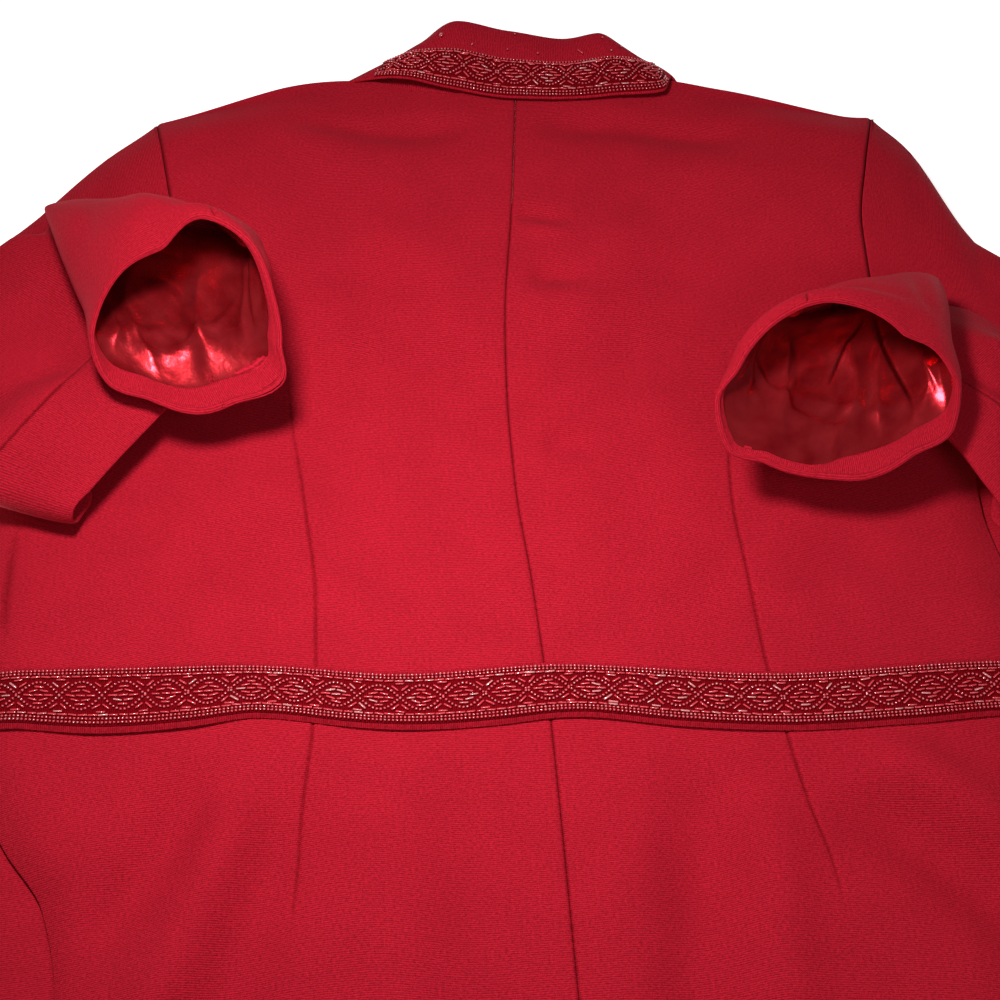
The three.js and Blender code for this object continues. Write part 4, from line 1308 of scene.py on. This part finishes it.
def beaded_pattern(start, end, rows):
    """Seeds as (along, across), bugles as (along, across, turn in degrees)."""
    seeds = []
    bugles = []
    for row in rows:
        level = row["across"]
        if row["kind"] == "seed":
            seeds.append(seeds_along(lambda a: level + 0 * a, start, end))
        else:
            for along in np.arange(start + BUGLE_LONG / 2, end, BUGLE_LONG + BUGLE_GAP):
                bugles.append((along, level, 0))
    for way in (-1, 1):
        wave = lambda a: way * EYE_HALF * np.cos(np.pi * a / EYE_PITCH)
        seeds.append(seeds_along(wave, start, end))
    for eye in range(math.floor(start / EYE_PITCH), math.ceil(end / EYE_PITCH) + 1):
        bugles += bugles_at(EYE_BUGLES, eye * EYE_PITCH)
        bugles += bugles_at(CORNER_BUGLES, (eye + 0.5) * EYE_PITCH)
    inside = [b for b in bugles if start + BUGLES_STOP < b[0] < end - BUGLES_STOP]
    return np.vstack(seeds), np.array(inside)


# %% Bead shapes
SHAPE_SIDES = 8
OVAL_SIDES = 12


def bead_shape(profile, sides):
    """A turned shape: profile gives (along, radius) from end to end."""
    rings = []
    for along, radius in profile:
        angle = np.arange(sides) * 2 * np.pi / sides
        flat = np.full(sides, along)
        ring = np.stack([flat, radius * np.cos(angle), radius * np.sin(angle)], axis=1)
        rings.append(ring)
    points = np.vstack(rings)
    faces = []
    for r in range(len(profile) - 1):
        for i in range(sides):
            j = (i + 1) % sides
            a, b = r * sides, (r + 1) * sides
            faces.append((a + i, a + j, b + j, b + i))
    faces.append(tuple(range(sides))[::-1])
    faces.append(tuple(range((len(profile) - 1) * sides, len(profile) * sides)))
    return points, faces


SEED_SHAPE = bead_shape([
    (-0.68, 0.36), (-0.46, 0.64), (0.0, SEED_RADIUS), (0.46, 0.64), (0.68, 0.36),
], SHAPE_SIDES)
BUGLE_SHAPE = bead_shape([
    (-BUGLE_LONG / 2, 0.38), (-BUGLE_LONG / 2 + 0.22, BUGLE_RADIUS),
    (BUGLE_LONG / 2 - 0.22, BUGLE_RADIUS), (BUGLE_LONG / 2, 0.38),
], SHAPE_SIDES)
OVAL_SHAPE = bead_shape([
    (-1.7, 0.4), (-1.1, 1.0), (0.0, 1.3), (1.1, 1.0), (1.7, 0.4),
], OVAL_SIDES)

# %% Sewing beads on
SEED_LEAN = 6.0              # how unevenly beads lie, in degrees
BEAD_LEAN = 3.5
SIZE_SPREAD = 0.05
BEAD_LIFT = 0.5
beads = {}


def sew_beads(name, shape, places, surface, seed, reach=0.4):
    """Joins a bead at each place into one mesh.  surface(along, across) gives points.

    Here the grain keeps each bead's own tone, which also picks the few painted glints,
    and how near a point is to its crown, where the shader paints a highlight.
    """
    rng = np.random.default_rng(seed)
    points, faces = shape
    along, across = places[:, 0], places[:, 1]
    count = len(places)
    turn = np.radians(places[:, 2] if places.shape[1] > 2 else rng.normal(0, SEED_LEAN, count))
    turn = turn + np.radians(rng.normal(0, BEAD_LEAN, count))
    here = surface(along, across)
    ahead = unit(surface(along + reach, across) - surface(along - reach, across))
    aside = surface(along, across + reach) - surface(along, across - reach)
    aside = unit(aside - ahead * np.sum(aside * ahead, axis=1, keepdims=True))
    up = np.cross(ahead, aside)
    up = up * np.sign(up[:, 2:3] + 1e-9)
    main = ahead * np.cos(turn)[:, None] + aside * np.sin(turn)[:, None]
    other = np.cross(up, main)
    centre = here + up * (GROUND_THICK + BEAD_LIFT)
    size = rng.normal(1, SIZE_SPREAD, count)[:, None, None]
    local = points[None, :, :] * size
    world = (centre[:, None, :] + local[..., 0:1] * main[:, None, :]
             + local[..., 1:2] * other[:, None, :] + local[..., 2:3] * up[:, None, :])
    each = len(points)
    all_faces = [tuple(i * each + f for f in face) for i in range(count) for face in faces]
    tone = np.repeat(rng.random(count), each)
    # How near each point is to its bead's crown: the shader paints a highlight there and shade at
    # the foot.
    crown = np.tile(points[:, 2] / np.abs(points[:, 2]).max() * 0.5 + 0.5, count)
    grain = np.stack([tone, crown, np.zeros_like(tone)], axis=1)
    beads[name] = new_mesh(name, world.reshape(-1, 3), all_faces, grain)
    print(name, count, "beads")


# %% A dark sheet under the beads, as painted shade
# A thin sheet lies under each beaded band; its dark colour is painted shade between the beads.
GROUND_STEP = 2.2
GROUND_COLUMNS = 14
shade_sheets = {}


def band_shade_sheet(name, surface, start, end, across):
    along = np.linspace(start, end, int((end - start) / GROUND_STEP))[:, None]
    width = np.linspace(*across, GROUND_COLUMNS)[None, :]
    along, width = np.broadcast_arrays(along, width)
    face = surface(along, width)
    lift = unit(np.cross(np.gradient(face, axis=0), np.gradient(face, axis=1)))
    lift = lift * np.sign(lift[..., 2:3] + 1e-9)
    shade_sheets[name] = cloth(name, face + lift * GROUND_THICK, GROUND_THICK - 0.05, outward=lift)


# %% Beads on the belt
BAND_SHIFT = 0.9
BELT_GROUND_ENDS = 2
BELT_BEADS_END = 3


def belt_surface(along, across):
    share = 0.5 + (across + BAND_SHIFT) / BELT_WIDTH
    return belt_back(along, share)


belt_start = -BELT_SIDE[-1]
belt_end = BELT_SIDE[1]
band_shade_sheet("belt_band_shade_sheet", belt_surface,
            belt_start + BELT_GROUND_ENDS, belt_end - BELT_GROUND_ENDS, (-14.3, 12.9))
belt_seeds, belt_bugles = beaded_pattern(
    belt_start + BELT_BEADS_END, belt_end - BELT_BEADS_END, BELT_ROWS)
sew_beads("belt_seed_beads", SEED_SHAPE, belt_seeds, belt_surface, 11)
sew_beads("belt_bugle_beads", BUGLE_SHAPE, belt_bugles, belt_surface, 12)

# %% Beads on the collar
BAND_PLACES = np.linspace(-3.1, 3.6, 400)
BAND_MIDDLE = 0.745          # shares of the way down the fall
BAND_SHARE = 0.47
BAND_WIDE = 27.6
collar_line = collar_point(BAND_PLACES, 0.74)
collar_steps = np.linalg.norm(np.diff(collar_line, axis=0), axis=1)
collar_run = np.concatenate([[0], np.cumsum(collar_steps)])


def collar_surface(along, across):
    place = np.interp(along, collar_run, BAND_PLACES)
    down = BAND_MIDDLE - across / BAND_WIDE * BAND_SHARE
    return collar_face(place, down)


collar_end = collar_run[-1]
band_shade_sheet("collar_band_shade_sheet", collar_surface, 0.5, collar_end - 0.5, (-14.1, 11.6))
collar_seeds, collar_bugles = beaded_pattern(1.0, collar_end - 1.0, COLLAR_ROWS)
sew_beads("collar_seed_beads", SEED_SHAPE, collar_seeds, collar_surface, 13)
sew_beads("collar_bugle_beads", BUGLE_SHAPE, collar_bugles, collar_surface, 14)
print("beaded band of the collar:", round(float(collar_run[-1])), "mm long")

# %% Single beads on the plain part of the collar
SINGLE_BEADS = table(
    "place down turn kind",
    (-0.65, 0.45, 0, "seed"), (-0.05, 0.41, 0, "seed"), (0.5, 0.43, 0, "seed"),
    (1.4, 0.41, 52, "bugle"), (2.15, 0.46, 0, "seed"), (2.05, 0.2, 0, "seed"),
    (2.45, 0.34, 0, "seed"), (0.1, 0.1, 0, "seed"), (-1.3, 0.32, 90, "oval"),
)


COLLAR_DEEP = 50.0


def single_surface(place, down_mm):
    return collar_face(place, down_mm / COLLAR_DEEP)


for name, kind, shape, seed in (
    ("collar_single_seeds", "seed", SEED_SHAPE, 15),
    ("collar_single_bugles", "bugle", BUGLE_SHAPE, 16),
    ("collar_oval_seed", "oval", OVAL_SHAPE, 17),
):
    places = np.array([
        [row["place"], row["down"] * COLLAR_DEEP, row["turn"]]
        for row in SINGLE_BEADS if row["kind"] == kind
    ])
    sew_beads(name, shape, places, single_surface, seed, reach=0.02)

# %% [markdown]
# ## Finishes
#
# Crepe, satin and glass each get a shader of their own.  All three read the `grain` that
# every point carries, so a weave follows the cloth and not the room.

# %% Node helpers


def new_material(name):
    material = bpy.data.materials.new(name)
    material.use_nodes = True
    nodes = material.node_tree.nodes
    nodes.clear()
    output = nodes.new("ShaderNodeOutputMaterial")
    shader = nodes.new("ShaderNodeBsdfPrincipled")
    material.node_tree.links.new(shader.outputs["BSDF"], output.inputs["Surface"])
    return material, shader


def node(material, kind, **values):
    made = material.node_tree.nodes.new(kind)
    for key, value in values.items():
        if key in made.inputs:
            made.inputs[key].default_value = value
        else:
            setattr(made, key, value)
    return made


def link(material, source, target):
    material.node_tree.links.new(source, target)


def tune(shader, values):
    for name, value in values.items():
        shader.inputs[name].default_value = value


def grain_place(material):
    return node(material, "ShaderNodeAttribute", attribute_name="grain").outputs["Vector"]


def parts_of(material, vector):
    made = node(material, "ShaderNodeSeparateXYZ")
    link(material, vector, made.inputs["Vector"])
    return made.outputs


def noise(material, source, scale, detail=3.0, rough=0.55):
    made = node(material, "ShaderNodeTexNoise", Scale=scale, Detail=detail, Roughness=rough)
    link(material, source, made.inputs["Vector"])
    return made.outputs["Fac"]


def ramp(material, source, *stops):
    made = node(material, "ShaderNodeValToRGB")
    band = made.color_ramp
    while len(band.elements) < len(stops):
        band.elements.new(0.5)
    for element, (place, colour) in zip(band.elements, stops):
        element.position = place
        element.color = (*colour, 1)
    link(material, source, made.inputs["Fac"])
    return made.outputs["Color"]


def multiplied(material, colour, by, share=1.0):
    made = node(material, "ShaderNodeMix", data_type="RGBA", blend_type="MULTIPLY")
    made.inputs["Factor"].default_value = share
    link(material, colour, made.inputs["A"])
    link(material, by, made.inputs["B"])
    return made.outputs["Result"]


def bump(material, shader, height, strength, distance):
    made = node(material, "ShaderNodeBump", Strength=strength, Distance=distance)
    link(material, height, made.inputs["Height"])
    link(material, made.outputs["Normal"], shader.inputs["Normal"])


# %% [markdown]
# ### Crepe
#
# Crepe is dull, with a fine cross rib.  A wave texture along the grain gives the rib and a
# fine noise the fuzz.  Both shade the cloth and raise it.  A slow noise lays faint clouds
# over it, and painted shade is multiplied in along the seam lines.  A little sheen gives
# the bloom that such cloth has at grazing light.

# %% Crepe
CREPE_RED = (0.46, 0.0105, 0.025)
# The dark red of the sheets under the beads is painted shade between the beads.
GROUND_SHADE_RED = (0.17, 0.001, 0.004)
WHITE = (1, 1, 1)
BLACK = (0, 0, 0)
GRAIN_STRETCH = (0.6, 1.0, 1.0)
RIB = {"Scale": 0.29, "Distortion": 1.4, "Detail": 2.0, "Detail Scale": 1.2}
RIB_SHARE = 0.22             # of the rib in the shading; the rest is fuzz
DULL = {
    "Roughness": 0.78,
    "Specular IOR Level": 0.08,
    "Specular Tint": (1.0, 0.3, 0.35, 1),
    "Sheen Weight": 0.07,
    "Sheen Roughness": 0.4,
    "Sheen Tint": (1.0, 0.25, 0.3, 1),
}


def crepe(name, base):
    material, shader = new_material(name)
    grain = grain_place(material)
    mapping = node(material, "ShaderNodeMapping", vector_type="POINT", Scale=GRAIN_STRETCH)
    link(material, grain, mapping.inputs["Vector"])
    stretched = mapping.outputs["Vector"]
    rib = node(material, "ShaderNodeTexWave", bands_direction="Y", **RIB)
    link(material, stretched, rib.inputs["Vector"])
    fuzz = noise(material, stretched, 1.0, 3.0, 0.7)

    ribbed = node(material, "ShaderNodeMix", data_type="FLOAT")
    ribbed.inputs["Factor"].default_value = RIB_SHARE
    link(material, fuzz, ribbed.inputs["A"])
    link(material, rib.outputs["Fac"], ribbed.inputs["B"])
    dark = tuple(c * 0.55 for c in base)
    bright = tuple(c * 1.4 for c in base)
    shade = ramp(material, ribbed.outputs["Result"], (0.32, dark), (0.68, bright))

    cloud = noise(material, grain, 0.03, 2.0)
    clouded = ramp(material, cloud, (0.3, (0.82, 0.82, 0.82)), (0.7, WHITE))
    tint = multiplied(material, shade, clouded, 0.5)
    # Painted shade darkens the seam lines, as much as each point lies in one.
    seam_shade_share = parts_of(material, grain)["Z"]
    seam_shade_tint = ramp(material, seam_shade_share, (0.1, WHITE), (0.9, (0.55, 0.42, 0.42)))
    seam_shaded = multiplied(material, tint, seam_shade_tint)
    link(material, seam_shaded, shader.inputs["Base Color"])

    height = node(material, "ShaderNodeMath", operation="ADD")
    link(material, rib.outputs["Fac"], height.inputs[0])
    link(material, fuzz, height.inputs[1])
    bump(material, shader, height.outputs["Value"], 0.35, 0.0006)
    tune(shader, DULL)
    return material


# %% [markdown]
# ### Satin
#
# The lining is the same red but smooth.  A high metallic value with a low roughness makes
# it mirror the lamps in streaks of its own colour, as a shiny woven lining does.

# %% Satin
SATIN_DARK = (0.42, 0.01, 0.016)
SATIN_BRIGHT = (0.62, 0.03, 0.04)
GLOSSY = {"Metallic": 0.75, "Roughness": 0.2, "Specular Tint": (1.0, 0.2, 0.25, 1)}


def satin():
    material, shader = new_material("lining satin")
    grain = grain_place(material)
    # The noise that raises the satin also colours it, darker in its hollows: painted shade in the
    # small creases.
    creasing = noise(material, grain, 0.07, 3.0, 0.5)
    shade = ramp(material, creasing, (0.3, SATIN_DARK), (0.7, SATIN_BRIGHT))
    # Painted shade darkens the lining's seam lines.
    seam_shade_share = parts_of(material, grain)["Z"]
    seam_shade_tint = ramp(material, seam_shade_share, (0.2, WHITE), (0.8, (0.3, 0.2, 0.2)))
    seam_shaded = multiplied(material, shade, seam_shade_tint)
    link(material, seam_shaded, shader.inputs["Base Color"])
    bump(material, shader, creasing, 0.25, 0.002)
    tune(shader, GLOSSY)
    return material


# %% [markdown]
# ### Glass beads
#
# The beads are clear red glass.  Real refraction in three thousand tiny beads would be
# slow and grainy, so each bead has painted shade at its foot and a painted highlight at its
# crown, under a glossy coat.  Each has a tone of its own, and a few are pale, as painted
# glints.

# %% Glass beads
PAINTED_GLINT = (0.85, 0.3, 0.3)
POLISHED = {
    "Roughness": 0.12,
    "Specular IOR Level": 0.7,
    "Coat Weight": 0.5,
    "Coat Roughness": 0.05,
}


def glass_beads(name, dark, bright):
    material, shader = new_material(name)
    parts = parts_of(material, grain_place(material))
    # A few beads, by their random tone, are pale: painted glints.
    tone = ramp(material, parts["X"], (0.0, bright), (0.84, bright), (0.93, PAINTED_GLINT))
    # Painted shade at each bead's foot, painted highlight at its crown.
    lit = ramp(material, parts["Y"], (0.72, BLACK), (1.0, WHITE))
    shade = node(material, "ShaderNodeMix", data_type="RGBA")
    shade.inputs["A"].default_value = (*dark, 1)
    link(material, lit, shade.inputs["Factor"])
    link(material, tone, shade.inputs["B"])
    link(material, shade.outputs["Result"], shader.inputs["Base Color"])
    tune(shader, POLISHED)
    return material


# %% Every piece gets its finish
finish = {
    "crepe": crepe("crimson crepe", CREPE_RED),
    "satin": satin(),
    "ground": crepe("band ground painted shade", GROUND_SHADE_RED),
    # For the beads, the first colour is the painted shade at the foot, the second the painted
    # highlight at the crown.
    "seed": glass_beads("seed bead glass", (0.3, 0.002, 0.006), (0.95, 0.14, 0.17)),
    "bugle": glass_beads("bugle glass", (0.28, 0.002, 0.006), (0.8, 0.06, 0.08)),
}
for name, piece in pieces.items():
    kind = "satin" if name.startswith("sleeve_lining") else "crepe"
    piece.data.materials.append(finish[kind])
for name, piece in beads.items():
    piece.data.materials.append(finish["seed" if "seed" in name else "bugle"])
for piece in shade_sheets.values():
    piece.data.materials.append(finish["ground"])
print("finishes:", ", ".join(finish))

# %% [markdown]
# ## Who stands for what
#
# Each cloth piece rides on the garment's one body and takes the place of its solid.

# %% Riding and replacing
for name, piece in pieces.items():
    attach(piece, "root")
    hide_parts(name)
    kind = name.replace("_left", "").replace("_right", "")
for name, piece in beads.items():
    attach(piece, "root")
for name, piece in shade_sheets.items():
    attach(piece, "root")
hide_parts("belt_trim")
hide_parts("collar_trim")

# %% [markdown]
# ## Floor and light
#
# A white floor that glows a little, so that it stays white, and a faint sky.  A small lamp
# hangs close above the back, left of its middle: its light thins out towards the edges
# and models the folds.  A broad one beyond the hem, on the right, fills the shadows.

# %% Floor
FLOOR_HALF = 6.0
FLOOR_GLOW = 0.75


def stage_floor():
    mesh = bpy.data.meshes.new("floor")
    corners = [(FLOOR_HALF * x, FLOOR_HALF * y, 0) for x, y in ((-1, -1), (1, -1), (1, 1), (-1, 1))]
    mesh.from_pydata(corners, [], [(0, 1, 2, 3)])
    floor = bpy.data.objects.new("floor", mesh)
    bpy.context.scene.collection.objects.link(floor)
    material, shader = new_material("pale floor")
    tune(shader, {
        "Base Color": (0.92, 0.92, 0.92, 1),
        "Roughness": 0.9,
        "Emission Color": (1, 1, 1, 1),
        "Emission Strength": FLOOR_GLOW,
    })
    mesh.materials.append(material)


# %% Lamps and sky
def soft_lamp(name, place, aim, size, power, spread):
    light = bpy.data.lights.new(name, "AREA")
    light.shape = "DISK"
    light.size = size
    light.energy = power
    light.spread = math.radians(spread)
    lamp = bpy.data.objects.new(name, light)
    lamp.location = place
    lamp.rotation_euler = (Vector(aim) - Vector(place)).to_track_quat("-Z", "Y").to_euler()
    bpy.context.scene.collection.objects.link(lamp)


stage_floor()
soft_lamp("key", place=(-0.17, 0.08, 0.64), aim=(-0.02, 0.02, 0),
          size=0.15, power=1.9, spread=110)
soft_lamp("fill", place=(0.4, -0.62, 0.85), aim=(0.16, -0.22, 0),
          size=0.5, power=2.4, spread=180)
SKY = 0.1
world = bpy.data.worlds.new("studio")
world.use_nodes = True
tune(world.node_tree.nodes["Background"], {"Color": (1, 1, 1, 1), "Strength": SKY})
bpy.context.scene.world = world
bpy.context.scene.view_settings.view_transform = "Standard"

# %% The end
print("scene built")
